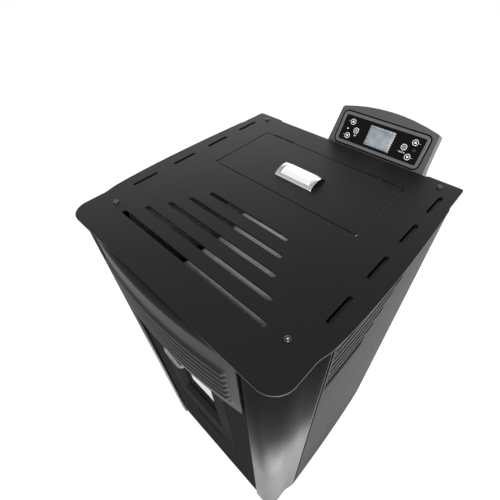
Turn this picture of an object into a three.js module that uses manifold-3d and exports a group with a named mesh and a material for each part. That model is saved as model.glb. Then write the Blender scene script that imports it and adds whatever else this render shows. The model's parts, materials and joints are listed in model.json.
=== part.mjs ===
// Pellet stove: a free-standing sheet-metal stove with a slotted top plate, a flush hopper lid,
// a bowed louvred front grille, a glazed fire door, an ash drawer and a tilted control panel.
// Millimetres. x runs to the stove's right as seen from the front, y to its back, z up.
// Inside this file y = 0 lies a little ahead of the middle, and the group is centred at the end.

import * as THREE from 'three';
import { mergeVertices } from 'three/addons/utils/BufferGeometryUtils.js';
import Module from 'manifold-3d';

const wasm = await Module();
wasm.setup();

// ---------------------------------------------------------------- driving dimensions

// gaps
const seat = 0.3;                    // between faces that touch
const sheet = 2;                     // outer steel sheet
const innerSheet = 1.5;              // galvanised and duct sheet
const doorGap = 2.2;                 // round the fire door
const drawerGap = 1.5;               // round the ash drawer's front

// top plate
const plateTop = 868;
const plateThickness = 3;
const lobeHalfWidth = 219;
const plateFrontY = -260;
const plateCornerRadius = 38;
const lobeRearY = -200;
const bowFrontY = -172;
const bowFrontX = 224;
const bowFullX = 230.2;
const bowRearY = 129;
const bowRearX = 221.5;
const plateRearY = 194.5;
const rearHalfWidth = 218.3;
const rearNotchHalfWidth = 157;
const rearNotchDepth = 3.5;
const plateRearRadius = 5;

// slots in the top plate
const grilleSlotY = -200.7;
const grilleSlotPitch = 30.5;
const grilleSlotHalfLengths = [152, 133, 113, 97.5, 82.4];
const grilleSlotWidth = 8;
const sideSlotX = 200;
const sideSlotWidth = 6.5;
const sideSlotLength = 50;
const sideSlotYs = [128.2, 44, -40, -126.8];
const plateScrewPlaces = [[180, -197], [186.8, 176.5]];
const screwHeadRadius = 4.8;
const screwHeadHeight = 2.6;
const screwShankRadius = 2;
const screwShankLength = 12;
const screwHoleRadius = 2.6;

// warm-air deck under the slots
const deckDrop = 32;
const deckLeftX = -26;
const deckFrontY = -205;
const deckRearY = -44;
const deckHangerFrontY = -165;
const deckHangerHeight = 14;
const deckRimHeight = 8;

// hopper lid
const lidHalfWidth = 146.4;
const lidFrontY = -6.9;
const lidRearY = 134;
const lidGap = 1.7;
const lidHingeRadius = 1.6;
const lidHingePinRadius = 0.7;
const lidHingeSetback = 0.3;         // of the axis behind the lid's opening
const lidHingeLeafLength = 22;
const lidHingeLeafThickness = 1.2;
const lidFlangeDepth = 9;
const lidRimGap = 3;
const lidHingeX = 105;
const lidHingeLength = 44;
const pullHalfLength = 38;
const pullFrontY = 31;
const pullRearY = 74.5;
const pullRise = 10;
const pullThickness = 2.2;

// casing
const footHeight = 30;
const footRadius = 19;
const footInsetX = 175;
const footFrontY = -185;
const footStemRadius = 4;
const footEdge = 5;
const jamNutHeight = 8;
const footRearY = 150;
const sideMaxX = 221.6;
const sideBowRadius = 4900;
const sideBowY = -100;
const seamY = -165;
const seamGap = 1.5;
const sidePanelRearY = 188;
const rearPanelY = 190.3;
const columnInnerX = 160.5;
const columnFrontY = -254;
const columnRadius = 34;
const columnWaistX = 213;
const columnWaistY = -199;
const flangeWidth = 16;
const panRimHeight = 20;
const frameInset = 22.3;
const frameFlangeWidth = 34;
const frameFootWidth = 22;
const frameWindow = { frontY: -90, rearY: 120, low: 200, high: 560 };
const ventSlotCount = 6;
const ventSlotFrontY = -157;
const ventSlotRearY = 40;
const ventSlotStep = 20;
const ventSlotTop = 31;
const ventSlotPitch = 18.6;
const ventSlotHeight = 4.5;

// front
const frontY = -250;
const frontHalfWidth = 155;
const grilleBottom = 703;
const grilleSagitta = 15;
const grilleEndY = -255;
const hoodCount = 6;
const hoodHalfWidth = 139;
const hoodLipTop = 57;
const hoodPitch = 15.4;
const hoodHeight = 12;
const hoodProud = 4.5;
const doorHalfWidth = 100;
const doorBottom = 333;
const doorTop = 698;
const doorThickness = 18;
const glassHalfWidth = 53;
const glassBottom = 416;
const glassTop = 651;
const glassThickness = 4;
const glassOverlap = 9;
const mouldingWidth = 13;
const mouldingDepth = 10;
const doorPivotInset = 8;
const doorPivotDepth = 5;
const doorPinRadius = 3;
const doorPinLength = 24;
const handleHalfLength = 20;
const handleStandoff = 17;
const handleRadius = 4;
const handleZ = doorTop - 24;
const handleSlant = 9.5;
const handleRise = 8;

// ash drawer
const drawerHalfWidth = 98;
const drawerBottom = 128;
const drawerTop = 312;
const drawerDepth = 158;
const drawerFloor = 136;

// firebox
const fireHalfWidth = 118;
const fireWall = 4;
const fireBottom = 320;
const fireTop = 735;
const fireFrontY = -226;
const fireRearY = -70;
const mouthHalfWidth = 74;
const mouthBottom = 395;
const mouthTop = 672;
const gasketWidth = 10;
const potHalfWidth = 50;
const potHalfDepth = 38;
const potY = -148;
const potShelf = 400;
const potDepth = 62;
const potWall = 3;
const potRim = 8;
const ashSlotHalfWidth = 70;
const ashSlotSetback = 14;
const baffleDepth = 100;
const baffleFall = 59;               // of its front edge below the firebox's top
const baffleRise = 20;
const baffleThickness = 4;
const exhaustPort = { left: 20, right: 100, low: 420, high: 470 };
const igniterX = -32;
const igniterDrop = 26;
const igniterRadius = 5;

// hopper and auger
const hopperHalfWidth = 140;
const hopperFrontY = 2;
const hopperRearY = 128;
const hopperStraight = 700;
const hopperNeck = 535;
const neckHalfWidth = 24;
const neckY = 84;
const augerTubeRadius = 30;
const augerTubeWall = 3;
const augerLowY = 112;
const augerLowZ = 450;
const augerHighY = -100;
const augerHighZ = 611;
const augerShaftRadius = 8;
const augerFlightGap = 2;
const augerPitch = 34;
const augerFlightThickness = 3;

// fans, pipes
const fanX = 60;
const fanWidth = 50;
const fanY = 60;
const fanZ = 190;
const impellerRadius = 48;
const scrollGap = 8;
const scrollGrowth = 22;
const fanEyeRadius = 26;
const fanOutletEndY = 150;
const fanOutletHeight = 62;
const fanStandOffset = 30;
const fanStandThickness = 3;
const ductWidth = 50;
const ductDepth = 44;
const ductMargin = 4;                // round the exhaust port
const ductEyeMargin = 8;             // round the fan's eye
const flueDrop = 14;
const flueWall = 2;
const flueFlangeMargin = 19;
const flueBeadSetback = 14;
const flueBeadWidth = 5;
const flueBeadRise = 2;
const flueRadius = 40;
const flueEndY = 256;
const intakeX = -75;
const intakeZ = 350;
const intakeRadius = 21;
const intakeEndY = 216;
const blowerX = -85;
const blowerHalfLength = 80;
const blowerY = 120;
const blowerZ = 105;
const wheelRadius = 34;
const wheelBlades = 14;
const airSlotRows = 4;
const airSlotPitchX = 52;
const airSlotPitchZ = 18;
const airSlotHalfLength = 22;
const airSlotHalfHeight = 4;

// control panel
const panelX = 54;
const panelTilt = 30;
const panelY = 197;
const panelBottomHalfWidth = 95.5;
const panelTopHalfWidth = 91.5;
const panelCorner = 63;
const panelPeak = 75;
const panelDepth = 24;
const bezelHalfWidth = 81;
const bezelLow = 2;
const bezelHigh = 55;
const bezelRim = 4;
const bezelDepth = 5;
const fasciaThickness = 2.4;
const lcdHalfWidth = 24.3;
const lcdLow = 11;
const lcdHigh = 45.4;
const keyRadius = 5.6;
const keyTravel = 0.8;
const keyProud = 0.5;
const keyPlaces = [[-59.7, 41.1], [-47.5, 28.2], [-60.8, 15.6], [61.1, 41], [46.8, 28.6], [59.5, 15.4]];

// ---------------------------------------------------------------- solids

function solid(geometry) {
  const bare = geometry.clone();
  bare.deleteAttribute('normal');
  bare.deleteAttribute('uv');
  const merged = mergeVertices(bare, 1e-4);
  const index = merged.index.array;
  const kept = [];
  for (let i = 0; i < index.length; i += 3) {
    const [a, b, c] = [index[i], index[i + 1], index[i + 2]];
    if (a !== b && b !== c && c !== a) kept.push(a, b, c);
  }
  const vertProperties = merged.attributes.position.array;
  return new wasm.Manifold(new wasm.Mesh({ numProp: 3, vertProperties, triVerts: new Uint32Array(kept) }));
}

function fuse(first, ...others) {
  return others.reduce((sum, other) => sum.add(other), first);
}

function cut(first, ...others) {
  return others.reduce((sum, other) => sum.subtract(other), first);
}

// A box between two corners.
function box(x0, x1, y0, y1, z0, z1) {
  const geometry = new THREE.BoxGeometry(x1 - x0, y1 - y0, z1 - z0);
  geometry.translate((x0 + x1) / 2, (y0 + y1) / 2, (z0 + z1) / 2);
  return solid(geometry);
}

// A plan outline (x, y) raised from z0 to z1.
function prismZ(shape, z0, z1, curveSegments = 4) {
  const geometry = new THREE.ExtrudeGeometry(shape, { depth: z1 - z0, bevelEnabled: false, curveSegments });
  geometry.translate(0, 0, z0);
  return solid(geometry);
}

// A side outline (y, z) carried from x0 to x1.
function prismX(shape, x0, x1, curveSegments = 4) {
  const geometry = new THREE.ExtrudeGeometry(shape, { depth: x1 - x0, bevelEnabled: false, curveSegments });
  geometry.applyMatrix4(new THREE.Matrix4().set(0, 0, 1, x0, 1, 0, 0, 0, 0, 1, 0, 0, 0, 0, 0, 1));
  return solid(geometry);
}

// A front outline (x, z) carried from y0 to y1.
function prismY(shape, y0, y1, curveSegments = 4) {
  const geometry = new THREE.ExtrudeGeometry(shape, { depth: y1 - y0, bevelEnabled: false, curveSegments });
  geometry.applyMatrix4(new THREE.Matrix4().set(1, 0, 0, 0, 0, 0, -1, y1, 0, 1, 0, 0, 0, 0, 0, 1));
  return solid(geometry);
}

// A round rod between two points.
function rod(from, to, radius, sides = 16) {
  const start = new THREE.Vector3(...from);
  const end = new THREE.Vector3(...to);
  const along = end.clone().sub(start);
  const geometry = new THREE.CylinderGeometry(radius, radius, along.length(), sides);
  const turn = new THREE.Quaternion().setFromUnitVectors(new THREE.Vector3(0, 1, 0),
      along.clone().normalize());
  geometry.applyQuaternion(turn);
  geometry.translate(...start.add(end).multiplyScalar(0.5).toArray());
  return solid(geometry);
}

// A closed surface through equal rings of points, with flat ends.
function loft(rings, section) {
  const count = section.length;
  const index = [];
  for (let s = 0; s + 1 < rings.length; s += 1) {
    for (let i = 0; i < count; i += 1) {
      const a = s * count + i;
      const b = s * count + (i + 1) % count;
      index.push(a, b, b + count, a, b + count, a + count);
    }
  }
  const last = (rings.length - 1) * count;
  const contour = section.map(([u, v]) => new THREE.Vector2(u, v));
  for (const [a, b, c] of THREE.ShapeUtils.triangulateShape(contour, [])) {
    index.push(a, c, b, last + a, last + b, last + c);
  }
  const points = rings.flat();
  let volume = 0;
  for (let i = 0; i < index.length; i += 3) {
    const [a, b, c] = [points[index[i]], points[index[i + 1]], points[index[i + 2]]];
    volume += a.dot(b.clone().cross(c));
  }
  if (volume < 0) index.reverse();
  const geometry = new THREE.BufferGeometry();
  const positions = new Float32Array(points.flatMap((point) => point.toArray()));
  geometry.setAttribute('position', new THREE.BufferAttribute(positions, 3));
  geometry.setIndex(index);
  return solid(geometry);
}

// A box whose upper rectangle differs from its lower one. Rectangles are [x0, x1, y0, y1].
function taper(lower, upper, z0, z1) {
  const corners = [[0, 2], [1, 2], [1, 3], [0, 3]];
  const ring = (rectangle, z) => corners.map(([i, j]) => new THREE.Vector3(rectangle[i], rectangle[j], z));
  const section = corners.map(([i, j]) => [lower[i], lower[j]]);
  return loft([ring(lower, z0), ring(upper, z1)], section);
}

function roundedRectangle(x0, x1, y0, y1, radius) {
  const shape = new THREE.Shape();
  shape.moveTo(x0 + radius, y0);
  shape.lineTo(x1 - radius, y0);
  shape.absarc(x1 - radius, y0 + radius, radius, -Math.PI / 2, 0, false);
  shape.lineTo(x1, y1 - radius);
  shape.absarc(x1 - radius, y1 - radius, radius, 0, Math.PI / 2, false);
  shape.lineTo(x0 + radius, y1);
  shape.absarc(x0 + radius, y1 - radius, radius, Math.PI / 2, Math.PI, false);
  shape.lineTo(x0, y0 + radius);
  shape.absarc(x0 + radius, y0 + radius, radius, Math.PI, 1.5 * Math.PI, false);
  return shape;
}

function polygon(points) {
  return new THREE.Shape(points.map(([u, v]) => new THREE.Vector2(u, v)));
}

function circle(x, y, radius) {
  const shape = new THREE.Shape();
  shape.absarc(x, y, radius, 0, 2 * Math.PI, false);
  return shape;
}

function rotationOf(degrees) {
  return degrees * Math.PI / 180;
}

// ---------------------------------------------------------------- finishes

const finish = (color, roughness, metalness) => ({ color, roughness, metalness });
const blackPaint = finish(0x1e1e1f, 0.55, 0.2);
const stovePaint = finish(0x151515, 0.8, 0.1);
const zincSteel = finish(0xa7a9aa, 0.4, 0.9);
const brightSteel = finish(0xc9cacb, 0.25, 1);
const chromePlate = finish(0xe6e7e8, 0.08, 1);
const castIron = finish(0x2b2a29, 0.75, 0.5);
const fireGlass = finish(0x1b1c1d, 0.05, 0);
const ropeSeal = finish(0x2c2b29, 0.95, 0);
const greyPlastic = finish(0x5b5c5d, 0.55, 0);
const rimPlastic = finish(0x8b8c8d, 0.45, 0);
const blackGloss = finish(0x08090a, 0.12, 0);
const displayGrey = finish(0x8f969a, 0.3, 0);
const blackRubber = finish(0x121212, 0.8, 0);
const motorBlack = finish(0x202224, 0.5, 0.4);
const boardGreen = finish(0x1f4a2c, 0.6, 0);

const stove = new THREE.Group();

function add(name, piece, look, parent = stove) {
  const mesh = piece.getMesh();
  const geometry = new THREE.BufferGeometry();
  geometry.setAttribute('position', new THREE.BufferAttribute(mesh.vertProperties, 3));
  geometry.setIndex(new THREE.BufferAttribute(mesh.triVerts, 1));
  geometry.computeVertexNormals();
  const part = new THREE.Mesh(geometry, new THREE.MeshStandardMaterial(look));
  part.name = name;
  parent.add(part);
}

const plateUnder = plateTop - plateThickness;
const casingTop = plateUnder - seat;
const sides = [['left', -1], ['right', 1]];

// Mirrors an x interval for the left side.
function spanX(side, near, far) {
  return side > 0 ? [near, far] : [-far, -near];
}

// ---------------------------------------------------------------- top plate

function slotPath(x, y, halfX, halfY) {
  const radius = Math.min(halfX, halfY);
  const path = new THREE.Path();
  if (halfX > halfY) {
    path.absarc(x + halfX - radius, y, radius, -Math.PI / 2, Math.PI / 2, false);
    path.absarc(x - halfX + radius, y, radius, Math.PI / 2, 1.5 * Math.PI, false);
  } else {
    path.absarc(x, y + halfY - radius, radius, 0, Math.PI, false);
    path.absarc(x, y - halfY + radius, radius, Math.PI, 2 * Math.PI, false);
  }
  path.closePath();
  return path;
}

// The right half of the plate's edge runs from the front centre to the rear centre.
function plateOutline() {
  const cornerX = lobeHalfWidth - plateCornerRadius;
  const cornerY = plateFrontY + plateCornerRadius;
  const right = new THREE.Shape();
  right.moveTo(0, plateFrontY);
  right.lineTo(cornerX, plateFrontY);
  right.absarc(cornerX, cornerY, plateCornerRadius, -Math.PI / 2, 0, false);
  right.lineTo(lobeHalfWidth, lobeRearY);
  right.bezierCurveTo(lobeHalfWidth, lobeRearY + 12, bowFrontX - 1.5, bowFrontY - 12, bowFrontX, bowFrontY);
  right.bezierCurveTo(bowFullX, bowFrontY + 60, bowFullX, bowRearY - 138, bowRearX, bowRearY);
  right.lineTo(rearHalfWidth + 1.3, bowRearY + 8);
  right.lineTo(rearHalfWidth, plateRearY - plateRearRadius);
  right.absarc(rearHalfWidth - plateRearRadius, plateRearY - plateRearRadius, plateRearRadius, 0,
      Math.PI / 2, false);
  right.lineTo(rearNotchHalfWidth + rearNotchDepth, plateRearY);
  right.lineTo(rearNotchHalfWidth, plateRearY - rearNotchDepth);
  const points = right.getPoints(5);
  const mirrored = points.slice(1).reverse().map((point) => new THREE.Vector2(-point.x, point.y));
  return new THREE.Shape([...points, ...mirrored]);
}

function topPlate() {
  const outline = plateOutline();
  grilleSlotHalfLengths.forEach((halfLength, i) => {
    outline.holes.push(slotPath(0, grilleSlotY + i * grilleSlotPitch, halfLength, grilleSlotWidth / 2));
  });
  for (const [, side] of sides) {
    for (const y of sideSlotYs) {
      outline.holes.push(slotPath(side * sideSlotX, y, sideSlotWidth / 2, sideSlotLength / 2));
    }
    for (const [x, y] of plateScrewPlaces) {
      outline.holes.push(circle(side * x, y, screwHoleRadius));
    }
  }
  const opening = lidHalfWidth + lidGap;
  outline.holes.push(polygon([
    [-opening, lidFrontY - lidGap], [opening, lidFrontY - lidGap],
    [opening, lidRearY + lidGap], [-opening, lidRearY + lidGap],
  ]));
  const plate = prismZ(outline, plateUnder, plateTop, 3);
  const knuckleRoom = lidHingeRadius + 1;
  const rooms = sides.map(([, side]) => {
    const [x0, x1] = spanX(side, lidHingeX - lidHingeLength / 2 - 1, lidHingeX + lidHingeLength / 2 + 1);
    return box(x0, x1, lidRearY - 1, lidAxisY + knuckleRoom, plateUnder - 1, plateTop + 1);
  });
  return cut(plate, ...rooms);
}

const lidAxisY = lidRearY + lidGap + lidHingeSetback;
const lidAxisZ = plateTop - lidHingeRadius;

function plateScrew(x, y) {
  const profile = [
    [0, plateTop + seat - screwShankLength], [screwShankRadius, plateTop + seat - screwShankLength],
    [screwShankRadius, plateTop + seat], [screwHeadRadius, plateTop + seat],
    [screwHeadRadius * 0.9, plateTop + seat + screwHeadHeight * 0.55],
    [screwHeadRadius * 0.55, plateTop + seat + screwHeadHeight], [0, plateTop + seat + screwHeadHeight],
  ].map(([r, z]) => new THREE.Vector2(r, z));
  const geometry = new THREE.LatheGeometry(profile, 8);
  geometry.rotateX(Math.PI / 2);
  geometry.translate(x, y, 0);
  const socket = new THREE.CylinderGeometry(1.7, 1.7, 4, 6);
  socket.rotateX(Math.PI / 2);
  socket.translate(x, y, plateTop + seat + screwHeadHeight + 0.4);
  return cut(solid(geometry), solid(socket));
}

for (const [word, side] of sides) {
  plateScrewPlaces.forEach(([x, y], i) => {
    add(`plate_screw_${word}_${i ? 'rear' : 'front'}`, plateScrew(side * x, y), brightSteel);
  });
}

// ---------------------------------------------------------------- hopper lid

// The lid hangs on two butt hinges whose barrels lie flush with the plate.
function hopperLid() {
  const corner = 3;
  const outline = polygon([
    [-lidHalfWidth + corner, lidFrontY], [lidHalfWidth - corner, lidFrontY],
    [lidHalfWidth, lidFrontY + corner], [lidHalfWidth, lidRearY],
    [-lidHalfWidth, lidRearY], [-lidHalfWidth, lidFrontY + corner],
  ]);
  const skin = prismZ(outline, plateUnder, plateTop);
  const low = plateUnder - lidFlangeDepth;
  const rimX = hopperHalfWidth - innerSheet - lidRimGap;
  const rimFront = hopperFrontY + innerSheet + lidRimGap;
  const rimRear = hopperRearY - innerSheet - lidRimGap;
  const rim = cut(
    box(-rimX, rimX, rimFront, rimRear, low, plateUnder + 1),
    box(-rimX + sheet, rimX - sheet, rimFront + sheet, rimRear - sheet, low - 1, plateUnder),
  );
  let lid = fuse(skin, rim);
  for (const [, side] of sides) {
    const [x0, x1] = spanX(side, lidHingeX - lidHingeLength / 2 - 1, lidHingeX + lidHingeLength / 2 + 1);
    lid = cut(lid, box(x0, x1, lidAxisY - lidHingeRadius - 1.6, lidRearY + 1, plateUnder - 1,
        plateTop + 1));
    const half = lidHingeLength / 4 - 0.5;
    const inner = side * (lidHingeX - lidHingeLength / 4 - 0.2);
    lid = fuse(
      lid,
      rod([inner - half, lidAxisY, lidAxisZ], [inner + half, lidAxisY, lidAxisZ], lidHingeRadius, 8),
      box(inner - half, inner + half, lidAxisY - lidHingeRadius - 2.6, lidAxisY, lidAxisZ - 0.7,
          lidAxisZ + 0.7),
    );
    const pinHole = [lidHingeX - lidHingeLength / 2 - 2,
        lidHingeX + lidHingeLength / 2 + 2].map((x) => side * x);
    lid = cut(lid, rod([pinHole[0], lidAxisY, lidAxisZ], [pinHole[1], lidAxisY, lidAxisZ],
        lidHingePinRadius + seat, 8));
  }
  return lid;
}

// The fixed half of a hinge: a leaf welded under the plate, a barrel in the gap, and its pin.
function lidHinge(side) {
  const half = lidHingeLength / 4 - 0.5;
  const outer = side * (lidHingeX + lidHingeLength / 4 + 0.2);
  const leafLow = plateUnder - lidHingeLeafThickness;
  const web = 0.75 * lidHingeLeafThickness;
  const leaf = polygon([
    [lidAxisY - web, lidAxisZ], [lidAxisY - web, leafLow], [lidAxisY + lidHingeLeafLength, leafLow],
    [lidAxisY + lidHingeLeafLength, plateUnder], [lidAxisY + web, plateUnder], [lidAxisY + web, lidAxisZ],
  ]);
  const pinEnds = [lidHingeX - lidHingeLength / 2, lidHingeX + lidHingeLength / 4].map((x) => side * x);
  return fuse(
    prismX(leaf, outer - half, outer + half),
    rod([outer - half, lidAxisY, lidAxisZ], [outer + half, lidAxisY, lidAxisZ], lidHingeRadius, 8),
    rod([pinEnds[0], lidAxisY, lidAxisZ], [pinEnds[1], lidAxisY, lidAxisZ], lidHingePinRadius, 8),
  );
}

// An arched bridge: a strap bent up over the lid, with turned-down ends and bordered faces.
function lidPull() {
  const base = plateTop + seat;
  const middle = (pullFrontY + pullRearY) / 2;
  const halfSpan = (pullRearY - pullFrontY) / 2;
  const radius = (halfSpan ** 2 + pullRise ** 2) / (2 * pullRise);
  const spread = Math.asin(halfSpan / radius);
  const centre = base + pullRise - radius;
  const arch = new THREE.Shape();
  arch.absarc(middle, centre, radius, Math.PI / 2 - spread, Math.PI / 2 + spread, false);
  const innerSpread = Math.acos((base - centre) / (radius - pullThickness));
  arch.absarc(middle, centre, radius - pullThickness, Math.PI / 2 + innerSpread,
      Math.PI / 2 - innerSpread, true);
  const strap = prismX(arch, -pullHalfLength, pullHalfLength, 6);
  const field = new THREE.Shape();
  field.absarc(middle, centre, radius + 1, Math.PI / 2 - spread * 0.72, Math.PI / 2 + spread * 0.72, false);
  field.absarc(middle, centre, radius - 0.6, Math.PI / 2 + spread * 0.72, Math.PI / 2 - spread * 0.72,
      true);
  const sunk = prismX(field, -pullHalfLength + 7, pullHalfLength - 7, 6);
  return cut(strap, sunk);
}

add('hopper_lid', hopperLid(), blackPaint);
add('lid_pull', lidPull(), chromePlate);
add('top_plate', fuse(topPlate(), ...sides.map(([, side]) => lidHinge(side))), blackPaint);

// ---------------------------------------------------------------- casing

const sideArcX = sideMaxX - sideBowRadius;
const sideAngle = (y) => Math.asin((y - sideBowY) / sideBowRadius);
const sideX = (y) => sideArcX + sideBowRadius * Math.cos(sideAngle(y));

// A band that follows the bowed side between two depths inside its face.
function sideBand(y0, y1, outerInset, innerX) {
  const shape = new THREE.Shape();
  shape.absarc(sideArcX, sideBowY, sideBowRadius - outerInset, sideAngle(y0), sideAngle(y1), false);
  if (innerX === undefined) {
    shape.absarc(sideArcX, sideBowY, sideBowRadius - sheet, sideAngle(y1), sideAngle(y0), true);
  } else {
    shape.lineTo(innerX, y1);
    shape.lineTo(innerX, y0);
  }
  return shape;
}

function mirroredX(piece) {
  const mesh = piece.getMesh();
  const vertProperties = Float32Array.from(mesh.vertProperties,
      (value, i) => (i % 3 === 0 ? -value : value));
  const triVerts = Uint32Array.from(mesh.triVerts).reverse();
  return new wasm.Manifold(new wasm.Mesh({ numProp: 3, vertProperties, triVerts }));
}

function sidePanel() {
  const front = seamY + seamGap / 2;
  const rear = sidePanelRearY;
  const rearX = sideX(rear);
  const band = (inset, innerX, z0, z1) => prismZ(sideBand(front - 2, rear + 2, inset, innerX), z0, z1);
  const wall = band(0, undefined, footHeight, casingTop);
  const topFlange = band(sheet / 2, rearX - flangeWidth / 2, casingTop - sheet, casingTop);
  const bottomFlange = band(sheet / 2, rearX - 1.5 * flangeWidth, footHeight, footHeight + sheet);
  const rearFlange = box(rearX - flangeWidth, rearX - 1, rear - sheet, rear + 1, footHeight, casingTop);
  const frontFlange = box(sideX(front) - flangeWidth, sideX(front) - 1, front - 1, front + sheet,
      footHeight, casingTop);
  const length = box(0, sideMaxX + 1, front, rear, footHeight - 1, casingTop + 1);
  let panel = fuse(wall, topFlange, bottomFlange, rearFlange, frontFlange).intersect(length);
  for (let i = 0; i < ventSlotCount; i += 1) {
    const z = plateTop - ventSlotTop - i * ventSlotPitch;
    const rear = ventSlotRearY - i * ventSlotStep;
    const half = ventSlotHeight / 2;
    panel = cut(panel, box(sideMaxX - flangeWidth / 2, sideMaxX + 1, ventSlotFrontY, rear, z - half,
        z + half));
  }
  return panel;
}

// A rounded corner post, open at its back, with a return at the front gap and one at the seam.
function frontColumn() {
  const rear = seamY - seamGap / 2;
  const outline = (inset) => {
    const radius = columnRadius - inset;
    const centreX = columnWaistX - columnRadius;
    const centreY = columnFrontY + columnRadius;
    const path = new THREE.Shape();
    path.moveTo(columnInnerX + inset, columnFrontY + 10);
    path.lineTo(columnInnerX + inset, columnFrontY + inset);
    path.lineTo(centreX, columnFrontY + inset);
    path.absarc(centreX, centreY, radius, -Math.PI / 2, 0, false);
    path.lineTo(columnWaistX - inset, columnWaistY);
    path.bezierCurveTo(columnWaistX - inset, columnWaistY + 12, sideX(rear) - inset - 1, rear - 12,
      sideX(rear) - inset, rear - inset);
    path.lineTo(sideX(rear) - flangeWidth, rear - inset);
    return path.getPoints(5);
  };
  const band = new THREE.Shape([...outline(0), ...outline(sheet).reverse()]);
  const tab = box(columnInnerX + 0.5, columnInnerX + 34, columnFrontY + 1, columnFrontY + 42,
    footHeight, footHeight + sheet);
  return fuse(prismZ(band, footHeight, casingTop), tab);
}

// The rear panel carries the blower's air grille and the holes of the pipes and the mains inlet.
function rearPanel() {
  const half = sideX(sidePanelRearY) - 1;
  const outline = roundedRectangle(-half, half, footHeight, casingTop, 3);
  for (let row = 0; row < airSlotRows; row += 1) {
    for (const column of [-1, 0, 1]) {
      const z = blowerZ + (row - (airSlotRows - 1) / 2) * airSlotPitchZ;
      outline.holes.push(slotPath(blowerX + column * airSlotPitchX, z, airSlotHalfLength,
          airSlotHalfHeight));
    }
  }
  const inlet = inletPlace;
  outline.holes.push(polygon([
    [inlet.x - inlet.halfWidth - seat, inlet.z - inlet.halfHeight - seat],
    [inlet.x + inlet.halfWidth + seat, inlet.z - inlet.halfHeight - seat],
    [inlet.x + inlet.halfWidth + seat, inlet.z + inlet.halfHeight + seat],
    [inlet.x - inlet.halfWidth - seat, inlet.z + inlet.halfHeight + seat],
  ]));
  const pipeHoles = [[fanX, flueZ, flueRadius],
      [intakeX, intakeZ, intakeRadius]].map(([x, z, radius]) => rod(
    [x, rearPanelY - 10, z], [x, rearPanelY + 10, z], radius + seat, pipeSides));
  return cut(prismY(outline, rearPanelY - sheet, rearPanelY, 2), ...pipeHoles);
}

const pipeSides = 24;
const flueZ = fanZ + impellerRadius + scrollGap - flueDrop;
const inletPlace = { x: 160, z: 100, halfWidth: 14, halfHeight: 29 };

const panTop = footHeight + sheet + seat + sheet;
const footTop = panTop + 14;

function basePan() {
  const front = frontY + sheet + seat;
  const rear = sidePanelRearY - sheet - seat;
  const half = sideX(sidePanelRearY) - sheet - seat - 1;
  const low = footHeight + sheet + seat;
  const frontHalf = frontHalfWidth;
  const plan = polygon([
    [-frontHalf, front], [frontHalf, front], [half, seamY + 12], [half, rear], [-half, rear],
        [-half, seamY + 12],
  ]);
  const floor = prismZ(plan, low, panTop);
  const rearRim = box(-half, half, rear - sheet, rear, low, panTop + panRimHeight);
  const frontRim = box(-frontHalf, frontHalf, front, front + sheet, low, panTop + panRimHeight);
  const holes = [];
  for (const x of [-footInsetX, footInsetX]) {
    for (const y of [footFrontY, footRearY]) {
      holes.push(rod([x, y, low - 1], [x, y, panTop + 1], footStemRadius + seat, 12));
    }
  }
  return cut(fuse(floor, rearRim, frontRim), ...holes);
}

// A levelling foot: a rubber-edged disc on a threaded stem with a jam nut.
function levellingFoot(x, y) {
  const low = footHeight + sheet + seat;
  const profile = [
    [0, 0], [footRadius, 0], [footRadius, footEdge], [footStemRadius, 2.4 * footEdge],
    [footStemRadius, low - jamNutHeight], [2 * footStemRadius, low - jamNutHeight],
    [2 * footStemRadius, low - seat], [footStemRadius, low - seat], [footStemRadius, footTop], [0, footTop],
  ].map(([r, z]) => new THREE.Vector2(r, z));
  const geometry = new THREE.LatheGeometry(profile, 10);
  geometry.rotateX(Math.PI / 2);
  geometry.translate(x, y, 0);
  return solid(geometry);
}

const sidePanelPiece = sidePanel();
const columnPiece = frontColumn();
add('right_side_panel', sidePanelPiece, blackPaint);
add('left_side_panel', mirroredX(sidePanelPiece), blackPaint);
add('right_front_column', columnPiece, blackPaint);
add('left_front_column', mirroredX(columnPiece), blackPaint);
add('rear_panel', rearPanel(), zincSteel);
add('base_pan', basePan(), zincSteel);
for (const [word, side] of sides) {
  add(`foot_${word}_front`, levellingFoot(side * footInsetX, footFrontY), blackRubber);
  add(`foot_${word}_rear`, levellingFoot(side * footInsetX, footRearY), blackRubber);
}

// Galvanised side frames: a wall with a top flange under the plate and a foot on the pan.
const frameOuterX = sideMaxX - frameInset;

function sideFrame() {
  const front = grilleSlotY - 8;
  const rear = sidePanelRearY - sheet - seat - sheet - seat;
  const low = panTop + seat;
  const wall = box(frameOuterX - innerSheet, frameOuterX, front + 30, rear, low, casingTop);
  const topFlange = box(frameOuterX - frameFlangeWidth, frameOuterX, front, rear, casingTop - innerSheet,
      casingTop);
  const foot = box(frameOuterX - frameFootWidth, frameOuterX, front + 60, rear, low, low + innerSheet);
  const screwHoles = plateScrewPlaces.map(([x, y]) => rod([x, y, casingTop - 6], [x, y, casingTop + 1],
    screwShankRadius + seat, 12));
  const footHoles = [footFrontY, footRearY].map((y) => rod([footInsetX, y, low - 1],
      [footInsetX, y, low + 20],
    5, 12));
  const window = box(frameOuterX - 5, frameOuterX + 1, frameWindow.frontY, frameWindow.rearY,
    frameWindow.low, frameWindow.high);
  return cut(fuse(wall, topFlange, foot), ...screwHoles, ...footHoles, window);
}

const sideFramePiece = sideFrame();
add('right_side_frame', sideFramePiece, zincSteel);
add('left_side_frame', mirroredX(sideFramePiece), zincSteel);

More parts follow.
